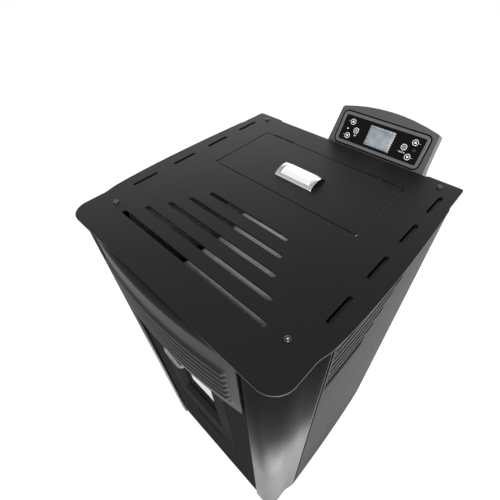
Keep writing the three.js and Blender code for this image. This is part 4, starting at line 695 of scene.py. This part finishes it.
def lid_pull():
    """A bridge bent over the lid: an arc from front to back, carried across the stove's width.

    The face sinks by PULL_SINK times a plateau across and along it, whose flanks are smooth steps,
    which leaves a raised border. The bright field in it is a thinner strip on the same arc."""
    half_span = (PULL_REAR - PULL_FRONT) / 2
    radius = (half_span ** 2 + PULL_RISE ** 2) / (2 * PULL_RISE)
    spread = math.asin(half_span / radius)
    middle, base = (PULL_FRONT + PULL_REAR) / 2, PLATE_TOP + SEAT
    crown = base + PULL_RISE - radius
    flank = np.linspace(28, 34, 9)
    u = np.unique(np.concatenate([np.linspace(-PULL_HALF, PULL_HALF, 41), flank, -flank]))
    across, angle = np.meshgrid(u, np.linspace(-spread, spread, 61), indexing="ij")
    sink = PULL_SINK * smooth((PULL_BORDER - np.abs(across)) / PULL_FLANK)
    sink *= smooth((spread * 0.80 - np.abs(angle)) / (spread * 0.07))
    under = np.full_like(across, radius - PULL_THICKNESS)
    reach = np.concatenate([radius - sink, under], axis=1)
    turn = np.concatenate([angle, angle[:, ::-1]], axis=1)
    height = np.maximum(crown + reach * np.cos(turn), base)
    points = grid_of(np.concatenate([across, across], axis=1), middle + reach * np.sin(turn), height)
    rows, columns = points.shape[:2]
    faces = grid_faces(rows, columns, wrap=True).tolist()
    faces += [tuple(range(columns)), tuple(range((rows - 1) * columns, rows * columns))[::-1]]
    shape_piece("lid_pull_bridge", points, faces, "chrome", "lid_pull", body="lid", edge=0.35)
    u, v = np.linspace(-PULL_FIELD, PULL_FIELD, 31), np.linspace(-spread * 0.72, spread * 0.72, 41)
    across, angle = np.meshgrid(u, v)
    reach = radius - PULL_SINK * 0.7
    strip = grid_of(across, middle + reach * np.sin(angle), crown + reach * np.cos(angle))
    shape_piece("lid_pull_field", strip, grid_faces(41, 31), "chrome", material=pull_satin, body="lid",
                thick=0.3, turn=False)


rounded_copy("hopper_lid", 0.4)
lid_pull()

# ---- casing


SIDE_MAX, SIDE_BOW, SIDE_BOW_Y = 221.6, 4900.0, -100.0
SEAM_Y, SEAM_GAP, SEAM_SHADE_HALF, SIDE_REAR = -165.0, 2.4, 1.9, 188.0
COLUMN_INNER, COLUMN_FRONT, COLUMN_RADIUS = 160.5, -254.0, 34.0
COLUMN_WAIST, COLUMN_WAIST_Y = 213.0, -199.0
FLANGE, EDGE_FLANGE, TIGHT_BEND = 16.0, 24.0, 0.4
VENTS, VENT_TOP, VENT_PITCH, VENT_HALF = 6, 31.0, 18.6, 1.5
VENT_FRONT, VENT_REAR, VENT_STEP = -157.0, 40.0, 20.0
DECK_DROP, DECK_CLIMB = 9.0, 24.0
FOOT_X, FEET = 175.0, {"front": -185.0, "rear": 150.0}


def side_x(y):
    """The bowed side: a circle of radius SIDE_BOW, widest at SIDE_BOW_Y."""
    return SIDE_MAX - SIDE_BOW + np.sqrt(SIDE_BOW ** 2 - (np.asarray(y, float) - SIDE_BOW_Y) ** 2)


def upright_sheet(name, plan, levels, side, stands_for, paint, keep=None):
    """A plan profile carried upwards through levels; cells where keep is False are left open."""
    grid = grid_of(side * plan[:, 0], plan[:, 1], levels[:, None])
    faces = grid_faces(len(levels), len(plan))
    if keep is not None:
        faces = faces[keep.ravel()]
    if side < 0:
        faces = faces[:, ::-1]
    shape_piece(name, grid, faces, "black_paint", stands_for, paint, thick=SHEET, turn=False)


def side_panel(word, side):
    """The bowed side with a flange at its front and its back, and six vents that shorten downwards."""
    front = SEAM_Y + SEAM_GAP / 2
    vents = [(PLATE_TOP - VENT_TOP - i * VENT_PITCH, VENT_REAR - i * VENT_STEP) for i in range(VENTS)]
    breaks = [VENT_FRONT, *(rear for _, rear in vents)]
    run = np.unique(np.concatenate([np.linspace(front + 0.5, SIDE_REAR - 2, 40), breaks]))
    plan = np.vstack([
        [(side_x(front) - FLANGE, front)],
        arc((side_x(front) - TIGHT_BEND, front + TIGHT_BEND), TIGHT_BEND, -90, -10, 4),
        np.column_stack([side_x(run), run]),
        arc((side_x(SIDE_REAR) - 2, SIDE_REAR - 2), 2, 10, 90, 5),
        [(side_x(SIDE_REAR) - FLANGE, SIDE_REAR)],
    ])
    edges = [z + part for z, _ in vents for part in (-VENT_HALF, VENT_HALF)]
    levels = np.unique(np.concatenate([np.linspace(CASING_LOW, CASING_TOP, 12), edges]))
    x, y = (plan[1:] + plan[:-1]).T / 2
    z = (levels[1:] + levels[:-1]) / 2
    outer = x > side_x(SIDE_REAR) - 3
    keep = np.ones((len(z), len(y)), bool)
    for height, rear in vents:
        open_run = (y > VENT_FRONT) & (y < rear) & outer
        keep &= ~((np.abs(z - height) < VENT_HALF)[:, None] & open_run[None, :])
    upright_sheet(f"{word}_side_sheet", plan, levels, side, f"{word}_side_panel", side_shaded_paint, keep)


def side_flanges(word, side):
    """The turned-in strips at the side's top and bottom, cut to its bow in plan."""
    front, rear, inner = SEAM_Y + 3.5, SIDE_REAR - 3, side * (side_x(SIDE_REAR) - EDGE_FLANGE)
    run = np.linspace(front, rear, 30)
    plan = np.vstack([np.column_stack([side * (side_x(run) - 1.2), run]), [(inner, rear), (inner, front)]])
    for row, low in (("bottom", CASING_LOW), ("top", CASING_TOP - SHEET)):
        sheet_piece(f"{word}_side_{row}_flange", [plan], SHEET, 0.2, raised(low))


def front_column(word, side):
    """A corner post: a return, a flat, a quarter round, a waist that swells to the side, and a return."""
    rear = SEAM_Y - SEAM_GAP / 2
    swell = side_x(rear)
    plan = np.vstack([
        [(COLUMN_INNER, COLUMN_FRONT + 10)],
        arc((COLUMN_INNER + 1.5, COLUMN_FRONT + 1.5), 1.5, 180, 270, 5),
        arc((COLUMN_WAIST - COLUMN_RADIUS, COLUMN_FRONT + COLUMN_RADIUS), COLUMN_RADIUS, -90, 0, 28),
        bezier([(COLUMN_WAIST, COLUMN_WAIST_Y), (COLUMN_WAIST, COLUMN_WAIST_Y + 12), (swell - 1, rear - 12),
                (swell, rear - 0.5)], 14),
        arc((swell - TIGHT_BEND, rear - TIGHT_BEND), TIGHT_BEND, 10, 90, 4),
        [(swell - FLANGE, rear)],
    ])
    upright_sheet(f"{word}_column_sheet", plan, np.linspace(CASING_LOW, CASING_TOP, 3), side,
                  f"{word}_front_column", column_shaded_paint)


def seam_shade_strip(word, side):
    """A thin black strip laid over the seam between column and side: painted shade standing for the shadow in
    the gap between the sheets.
    """
    run = np.linspace(SEAM_Y - SEAM_SHADE_HALF, SEAM_Y + SEAM_SHADE_HALF, 5)
    out = np.maximum(side_x(run), side_x(SEAM_Y)) + 0.16
    plan = np.vstack([np.column_stack([side * out, run]), np.column_stack([side * (out - 0.12), run])[::-1]])
    sheet_piece(f"{word}_seam_shade_strip", [plan], CASING_TOP - CASING_LOW - 4, 0.02, raised(CASING_LOW + 2),
                material=gap_shade_black)


def foot(word, side, row, y):
    """A levelling foot: a disc with a rolled edge on a stem with a jam nut."""
    stem_top = CASING_LOW + 20.3
    profile = [(0, 0), (17.5, 0), (19, 1.5), (19, 4), (17, 6.5), (10, 8.5), (4, 12), (4, 24.3), (8, 24.3),
               (8, 32), (4, 32), (4, stem_top), (0, stem_top)]
    turned_piece(f"foot_{word}_{row}_disc", profile, 0.6, raised((side * FOOT_X, y, 0)), "rubber",
                 f"foot_{word}_{row}", sides=48)


def air_deck():
    """The warm-air deck: a tray section carried from the front to the hopper. Its left end rolls
    down by DECK_DROP times a smooth step, and its rear climbs by DECK_CLIMB times another."""
    top, left, right = PLATE_TOP - 32.0, -26.0, SIDE_MAX - 24.1
    across = np.concatenate([np.linspace(left, 30, 12), np.linspace(60, right - 2, 5)])
    drop = DECK_DROP * smooth((20 - across) / 50)
    corner = arc((right - 2, top + 2), 2, 290, 360, 5)
    section = np.vstack([np.column_stack([across, top - drop]), corner, [(right, top + 14)]])
    run = np.concatenate([[-205.0, -150.0, -100.0], np.linspace(-85, -18, 12)])
    climb = DECK_CLIMB * smooth((run + 90) / 45)
    grid = grid_of(section[:, 0], run[:, None], np.minimum(section[:, 1] + climb[:, None], top + 26))
    faces = grid_faces(len(run), len(section))[:, ::-1]
    shape_piece("air_deck_tray", grid, faces, "zinc_steel", "air_deck", thick=1.5, turn=False)


for word, side in SIDES.items():
    side_panel(word, side)
    side_flanges(word, side)
    front_column(word, side)
    seam_shade_strip(word, side)
    for row, y in FEET.items():
        foot(word, side, row, y)
air_deck()
for node in ("base_pan", "left_side_frame", "right_side_frame"):
    rounded_copy(node, 0.3)
rounded_copy("rear_panel", 0.3, material=rear_zinc)
for node in ("flue_spigot", "air_intake"):
    rounded_copy(node, 0.3, crease=40)
rounded_copy("mains_inlet", 0.6)
rounded_copy("rocker_switch", 0.5)

# ---- bowed grille


FRONT_Y, FRONT_HALF = -250.0, 155.0
GRILLE_LOW, GRILLE_END, GRILLE_SAGITTA = 703.0, -255.0, 15.0
GRILLE_RADIUS = (FRONT_HALF ** 2 + GRILLE_SAGITTA ** 2) / (2 * GRILLE_SAGITTA)
GRILLE_CENTRE = GRILLE_END - GRILLE_SAGITTA + GRILLE_RADIUS
GRILLE_SHEET, GRILLE_ROLL, GRILLE_FLANGE = 1.4, 7.0, 26.0
HOODS, HOOD_TOP, HOOD_PITCH = 6, 57.0, 15.4
HOOD_HALF, HOOD_END, HOOD_HEIGHT, HOOD_PROUD = 139.0, 5.0, 12.0, 4.5


def bowed_grille():
    """A sheet bent to a circle in plan, with pressed hoods and a flange turned in at its top.

    In a hood the sheet stands out by HOOD_PROUD * fade(x) * rise(z): rise falls smoothly from 1 at
    the lip to 0 at the hood's top, and fade falls to 0 over HOOD_END at each end. The faces between
    the wall and each lip are left out, which opens the hood's mouth."""
    spread = math.asin(FRONT_HALF / GRILLE_RADIUS)
    ends = np.arcsin(np.array([HOOD_HALF - HOOD_END, HOOD_HALF - HOOD_END / 2, HOOD_HALF]) / GRILLE_RADIUS)
    angle = np.unique(np.concatenate([np.linspace(-spread, spread, 73), ends, -ends]))
    fall = np.linspace(0, 1, 8)
    levels, rises = [GRILLE_LOW], [0.0]
    for i in reversed(range(HOODS)):
        lip = PLATE_TOP - HOOD_TOP - i * HOOD_PITCH
        levels += [lip, lip, *(lip + GRILLE_SHEET + fall * (HOOD_HEIGHT - GRILLE_SHEET))]
        rises += [0.0, 1.0, *(1 - smooth(fall))]
    roll = arc((-GRILLE_ROLL, CASING_TOP - GRILLE_ROLL), GRILLE_ROLL, 0, 90, 8)
    levels, rises = np.array([*levels, *roll[:, 1], CASING_TOP]), np.array([*rises, *np.zeros(9)])
    inset = np.concatenate([np.zeros(len(levels) - 9), -roll[:, 0], [GRILLE_FLANGE]])
    fade = np.clip((HOOD_HALF - np.abs(GRILLE_RADIUS * np.sin(angle))) / HOOD_END, 0, 1)
    reach = GRILLE_RADIUS - inset[:, None] + HOOD_PROUD * rises[:, None] * fade[None, :]
    grid = grid_of(reach * np.sin(angle), GRILLE_CENTRE - reach * np.cos(angle), levels[:, None])
    rim = (FRONT_Y - SEAT, GRILLE_END + 0.8)
    left, right = grid_of(-FRONT_HALF, rim, levels[:, None]), grid_of(FRONT_HALF, rim[::-1], levels[:, None])
    grid = np.concatenate([left, grid, right], axis=1)
    rows, columns = grid.shape[:2]
    step = (np.diff(levels) == 0) & (levels[1:] < CASING_TOP - GRILLE_ROLL)
    faces = grid_faces(rows, columns)[~np.repeat(step, columns - 1)]
    shape_piece("bowed_grille", grid, faces, "black_paint", "front_grille", thick=GRILLE_SHEET, turn=False)


bowed_grille()
rounded_copy("lower_front", 0.5, material=front_shaded_paint)

# ---- fire door and ash drawer


HANDLE_HALF, HANDLE_STANDOFF, HANDLE_RADIUS, HANDLE_Z = 20.0, 17.0, 4.0, 674.0
HANDLE_SLANT, HANDLE_RISE, HANDLE_BEND = 9.5, 8.0, 9.0


def door_handle():
    """A bent rod: a circle carried along three straights and two quadratic bends, its two ends
    sheared along the legs so that they sit flat on the door."""
    face, grip = FRONT_Y - SEAT, FRONT_Y - HANDLE_STANDOFF
    left = np.array([-HANDLE_HALF, grip, HANDLE_Z + HANDLE_SLANT])
    right = np.array([HANDLE_HALF, grip, HANDLE_Z - HANDLE_SLANT])
    leg = np.array([0, face - grip, HANDLE_RISE])
    along = (right - left) / np.linalg.norm(right - left)
    down = leg / np.linalg.norm(leg)
    t = np.linspace(0, 1, 13)[:, None]

    def bend(before, at, after):
        return (1 - t) ** 2 * before + 2 * t * (1 - t) * at + t ** 2 * after

    path = np.vstack([
        left + leg, bend(left + down * HANDLE_BEND, left, left + along * HANDLE_BEND),
        bend(right - along * HANDLE_BEND, right, right + down * HANDLE_BEND), right + leg,
    ])
    across = np.cross(down, along)
    across /= np.linalg.norm(across)
    forward = np.gradient(path, axis=0)
    forward[0], forward[-1] = -down, down
    forward /= np.linalg.norm(forward, axis=1)[:, None]
    inward = np.cross(forward, across)
    turn = np.linspace(0, 2 * np.pi, 28, endpoint=False)
    rings = (path[:, None, :] + HANDLE_RADIUS * (np.cos(turn)[None, :, None] * across
             + np.sin(turn)[None, :, None] * inward[:, None, :]))
    for end in (0, -1):
        rings[end] += ((face - rings[end][:, 1]) / leg[1])[:, None] * leg
    count = rings.shape[1]
    faces = grid_faces(len(path), count, wrap=True).tolist()
    faces += [tuple(range(count))[::-1], tuple(range((len(path) - 1) * count, len(path) * count))]
    shape_piece("door_handle_rod", rings, faces, "bright_steel", "door_handle", handle_steel, "door",
                edge=0.3)


door_handle()
rounded_copy("door_frame", 0.7)
rounded_copy("door_glass", 0.5)
rounded_copy("ash_drawer", 0.6, material=front_shaded_paint)
for node in ("burn_pot", "flame_baffle", "firebox", "drawer_cradle", "hopper", "hopper_grid"):
    rounded_copy(node, 0.3)
for node in ("auger_tube", "auger_screw", "fan_housing", "fan_impeller", "blower_wheel", "blower_housing",
             "auger_motor", "fan_motor", "exhaust_duct", "door_pin_top", "door_pin_bottom", "igniter",
             "door_gasket"):
    rounded_copy(node, 0.2, crease=40)

# ---- control panel


LEAN = math.radians(30)
PANEL_X, PANEL_Y = 54.0, 197.0
BEZEL_HALF, BEZEL_LOW, BEZEL_HIGH, BEZEL_CORNER, BEZEL_RIM, BEZEL_DEPTH = 81.0, 2.0, 55.0, 6.5, 4.0, 5.0
FASCIA_FRONT, FASCIA_THICKNESS, PRINT = 0.8, 2.4, 0.02
LCD_HALF, LCD_LOW, LCD_HIGH = 24.3, 11.0, 45.4
KEY_RADIUS, KEY_PROUD = 5.6, 0.5
KEYS = {"up_left": (-59.7, 41.1), "mode": (-47.5, 28.2), "down_left": (-60.8, 15.6),
        "up_right": (61.1, 41.0), "power": (46.8, 28.6), "down_right": (59.5, 15.4)}
LAMP, EYE = (-65.1, 27.5), (64.7, 28.4)


def on_panel(depth, x=0.0, up=0.0):
    """Places a drawing on the leaning panel: its x across, its y up the face, its z out of it."""
    rise = np.array([0, math.sin(LEAN), math.cos(LEAN)])
    out = np.array([0, -math.cos(LEAN), math.sin(LEAN)])
    origin = np.array([PANEL_X + x, PANEL_Y, PLATE_TOP]) + rise * up - out * depth
    return placing((1, 0, 0), rise, out, origin)


def swept_frame(name, profile, place, slot, stands_for=(), material=None):
    """A section of (distance outside the bezel's seat, height) carried round a rounded rectangle:
    each section point follows the rectangle grown by its distance, corners and all."""
    loops = []
    for out, high in profile:
        low, top = (-BEZEL_HALF - out, BEZEL_LOW - out), (BEZEL_HALF + out, BEZEL_HIGH + out)
        loop = round_box(low, top, BEZEL_CORNER + out, 12)
        loops.append(np.column_stack([loop, np.full(len(loop), high)]))
    grid = np.stack(loops)
    rows, columns = grid.shape[:2]
    first = np.arange(columns)
    after, last = (first + 1) % columns, (rows - 1) * columns
    join = np.stack([last + first, last + after, after, first], axis=-1)
    faces = np.vstack([grid_faces(rows, columns, wrap=True), join])
    shape_piece(name, placed(grid, place), faces, slot, stands_for, material)


def bezel():
    """A raised rim whose rounded flange covers its seat, and a flat black ring round it: painted shade standing
    for the shadow in the groove.
    """
    crown = arc((0.2, 0.2), 1.0, 90, 0, 6) * (1.4, 1)
    shoulder = arc((-3.2, 0.4), 0.8, 180, 90, 5)
    profile = [(-4, -BEZEL_DEPTH), *shoulder, *crown, (1.68, 0.06), (-0.1, 0.06), (-0.1, -BEZEL_DEPTH)]
    swept_frame("bezel_ring", profile, on_panel(0), "rim_plastic", "panel_bezel")
    joint = [(1.2, 0.02), (4.0, 0.02), (4.0, 0.1), (1.2, 0.1)]
    swept_frame("bezel_groove_shade", joint, on_panel(0), "grey_plastic", material=gap_shade_black)


def fascia():
    """The black glass, with a window for the display and holes for the keys."""
    inset = BEZEL_RIM + SEAT
    outer = round_box((-BEZEL_HALF + inset, BEZEL_LOW + inset), (BEZEL_HALF - inset, BEZEL_HIGH - inset), 2.7)
    window = round_box((-LCD_HALF - SEAT, LCD_LOW - SEAT), (LCD_HALF + SEAT, LCD_HIGH + SEAT), 0.5, 4)
    holes = [arc(place, KEY_RADIUS + SEAT, 0, 352, 45) for place in KEYS.values()]
    sheet_piece("fascia_glass", [outer, window, *holes], FASCIA_THICKNESS, 0.2,
                on_panel(FASCIA_FRONT + FASCIA_THICKNESS), "panel_fascia", "black_gloss")


def lcd_face():
    """The display: a flat grid whose UV map runs from its lower left to its upper right."""
    u, v = np.meshgrid(np.linspace(0, 1, 9), np.linspace(0, 1, 7))
    flat = grid_of((u * 2 - 1) * LCD_HALF, LCD_LOW + v * (LCD_HIGH - LCD_LOW), 0)
    mesh = new_mesh("lcd_face", placed(flat, on_panel(FASCIA_FRONT + 0.2)), grid_faces(7, 9))
    corner = np.zeros(len(mesh.loops), int)
    mesh.loops.foreach_get("vertex_index", corner)
    chart = np.column_stack([u.ravel(), v.ravel()])[corner]
    mesh.uv_layers.new(name="face").data.foreach_set("uv", chart.ravel())
    finish_piece("lcd_face", mesh, "display", "panel_display", thick=6.0, tidy=False, turn=False)


def icon(name, outlines, x, up, depth, body="casing"):
    """A printed white mark: thin filled outlines on a key or on the fascia."""
    sheet_piece(name, outlines, 0.12, PRINT, on_panel(depth, x, up), slot="black_gloss", material=icon_white,
                body=body)


def label(words, x, up):
    """Small white capitals under a key: centred text, made a mesh and then placed."""
    writing = adjusted(bpy.data.curves.new("label", "FONT"), body=words, size=3.4, extrude=0.04,
                       align_x="CENTER", align_y="CENTER")
    points, faces = mesh_of(writing)
    points = placed(points, on_panel(FASCIA_FRONT - 0.03, x, up))
    name = "label_" + words.replace("/", "_").lower()
    shape_piece(name, points, faces, "black_gloss", material=icon_white, turn=False)


def arrow(direction):
    """A solid triangle, pointing up for 1 and down for -1."""
    return direction * np.array([(0, 2.9), (-2.7, -1.6), (2.7, -1.6)])


def ring(radius, width, start=0.0, end=360.0):
    """The two outlines of a ring, or the one of an open ring between two angles."""
    if end - start < 359:
        return [np.vstack([arc((0, 0), radius, start, end, 40), arc((0, 0), radius - width, end, start, 40)])]
    return [arc((0, 0), radius, 0, 354, 60), arc((0, 0), radius - width, 0, 354, 60)]


def bar(half_width, low, high, tilt=0.0):
    """A straight stroke, turned by tilt degrees from upright."""
    shape = np.array([(-half_width, low), (half_width, low), (half_width, high), (-half_width, high)])
    c, s = np.cos(np.radians(tilt)), np.sin(np.radians(tilt))
    return shape @ np.array([(c, s), (-s, c)])


def keys():
    """Round caps a little proud of the fascia, each with a white ring and its sign. A sign is a list
    of separate fills, so that a bar over a ring isn't cut out of it."""
    signs = {"up": [[arrow(1)]], "down": [[arrow(-1)]],
             "mode": [ring(2.5, 0.55), [bar(0.3, -0.2, 1.7)], [bar(0.3, -0.2, 1.3, -90)]],
             "power": [ring(2.4, 0.6, 125, 415), [bar(0.34, 0.6, 3.0)]]}
    profile = [(0, -2.2), (KEY_RADIUS, -2.2), (KEY_RADIUS, -0.35), (KEY_RADIUS - 0.35, -0.02), (0, 0)]
    front = FASCIA_FRONT - KEY_PROUD
    mark = front + PRINT
    for name, (x, up) in KEYS.items():
        turned_piece(f"key_cap_{name}", profile, 0, on_panel(front, x, up), "black_gloss", f"key_{name}",
                     sides=48, body=f"button_{name}")
        icon(f"key_ring_{name}", ring(5.2, 0.85), x, up, mark, f"button_{name}")
        for i, sign in enumerate(signs[name.split("_")[0]]):
            icon(f"key_sign_{name}_{i}", sign, x, up, mark, f"button_{name}")
    label("SET", -46.2, 19.4)
    label("ON/OFF", 46.0, 19.8)
    for name, (x, up) in KEYS.items():
        if "_" in name:
            icon(f"key_tick_{name}", [bar(0.9, -0.22, 0.22)], x + math.copysign(8.0, x), up,
                 FASCIA_FRONT + PRINT)


def lamp_and_eye():
    """The red lamp's dome and the dark window of the infrared eye."""
    dome = [(0, -0.1), (1.0, -0.1), (0.9, 0.25), (0.6, 0.45), (0, 0.55)]
    turned_piece("panel_lamp", dome, 0, on_panel(FASCIA_FRONT, *LAMP), "display", material=red_lamp)
    lens = [(0, -0.1), (2.6, -0.1), (2.6, 0.05), (2.2, 0.2), (0, 0.22)]
    turned_piece("panel_eye", lens, 0, on_panel(FASCIA_FRONT, *EYE), "black_gloss", material=dark_lens)


rounded_copy("panel_housing", 2.0)
bezel()
fascia()
lcd_face()
keys()
lamp_and_eye()

# ---- room


FLOOR_REACH, FLOOR_DROP, FLOOR_GLOW = 40.0, 0.0005, 4.0
POOL_MIDDLE, POOL_INNER, POOL_OUTER, POOL_SHARE = (0.70, -0.48, 0), 0.28, 0.5, 0.72
GLOW_FROM, GLOW_TO, GLOW_LEAST = 0.2, 0.5, 0.15
HORIZON, OVERHEAD = (0.0, 1.1), (0.9, 0.55)  # height of the sky's direction, level
WINDOW_SIDE = (-0.72, 0.69, 0)
LIGHT_PLACE, LIGHT_AIM, LIGHT_SIZE, LIGHT_POWER = (1.5, -1.45, 2.6), (0, 0, 0.8), 0.8, 60


def soft_light():
    """A disk of light high over the stove's right front."""
    lamp = adjusted(bpy.data.lights.new("key", "AREA"), shape="DISK", size=LIGHT_SIZE, energy=LIGHT_POWER)
    holder = stand("key", lamp)
    holder.location = LIGHT_PLACE
    holder.rotation_mode = "QUATERNION"
    holder.rotation_quaternion = (Vector(LIGHT_AIM) - Vector(LIGHT_PLACE)).to_track_quat("-Z", "Y")


def pale_floor():
    """A wide near-white board that glows a little, most of all to the stove's right, with a pool
    of light off its right front corner."""
    corners = np.array([(-1, -1), (1, -1), (1, 1), (-1, 1)]) * FLOOR_REACH
    mesh = bpy.data.meshes.new("floor")
    mesh.from_pydata([(x, y, -FLOOR_DROP) for x, y in corners], [], [(0, 1, 2, 3)])
    board = Finish("floor_board", Roughness=0.9, Emission_Strength=FLOOR_GLOW)
    place = board.node("ShaderNodeTexCoord", output="Object")
    across = board.node("ShaderNodeSeparateXYZ", {}, {0: place}, output="X")
    grain = board.noise(30, 3, place)
    lit = board.steps(across, GLOW_FROM, GLOW_TO) * (1 - GLOW_LEAST) + GLOW_LEAST
    far = board.node("ShaderNodeVectorMath", {"operation": "DISTANCE"}, {0: place, 1: POOL_MIDDLE},
                     output="Value")
    pool = 1 - board.steps(far, POOL_INNER, POOL_OUTER)
    board.shade(Emission_Color=board.between(lit * (1 - POOL_SHARE) + pool * POOL_SHARE, 0.0, 1.0),
                Base_Color=board.between(grain, 0.84, 0.88))
    mesh.materials.append(board.material)
    floor = stand("floor", mesh)


def studio_air():
    """Surroundings that are pale at the horizon, dim overhead, and brighter behind the stove's left."""
    world = bpy.data.worlds.new("studio")
    air = Tree(world)
    place = air.node("ShaderNodeTexCoord", output="Generated")
    height = air.node("ShaderNodeSeparateXYZ", {}, {0: place}, output="Z")
    level = air.node("ShaderNodeValToRGB", {"stops": [HORIZON, OVERHEAD]}, {"Fac": height})
    toward = air.node("ShaderNodeVectorMath", {"operation": "DOT_PRODUCT"}, {0: place, 1: WINDOW_SIDE},
                      output="Value")
    gain = air.node("ShaderNodeMapRange", {}, {
        "Value": toward, "From Min": 0.62, "From Max": 0.95, "To Min": 1.2, "To Max": 2.8}, output="Result")
    sky = air.nodes["Background"]
    air.feed(sky.inputs["Color"], level)
    air.feed(sky.inputs["Strength"], gain)
    bpy.context.scene.world = world


pale_floor()
studio_air()
soft_light()

# The camera stands above the right front corner of the plate, a little rolled.
CAMERA_PLACE = (284.36, -345.68, 331.74)  # mm from the plate's top, at the stove's own x = y = 0
CAMERA_AZIMUTH, CAMERA_ELEVATION, CAMERA_ROLL = 46.368, 46.473, -3.158
FOCAL = 24.02  # mm, on a 36 mm wide picture

lens = adjusted(bpy.data.cameras.new("view"), lens=FOCAL, sensor_width=36.0, clip_start=0.01, clip_end=200.0)
camera = stand("view", lens)
turned = (Matrix.Rotation(math.radians(CAMERA_AZIMUTH), 4, "Z")
          @ Matrix.Rotation(math.radians(90 - CAMERA_ELEVATION), 4, "X")
          @ Matrix.Rotation(math.radians(CAMERA_ROLL), 4, "Z"))
where = (np.array(CAMERA_PLACE) + (0, 0, PLATE_TOP)) * MM + HOME
camera.matrix_world = Matrix.Translation(where) @ turned
bpy.context.scene.camera = camera
bpy.context.scene.view_settings.view_transform = "Standard"
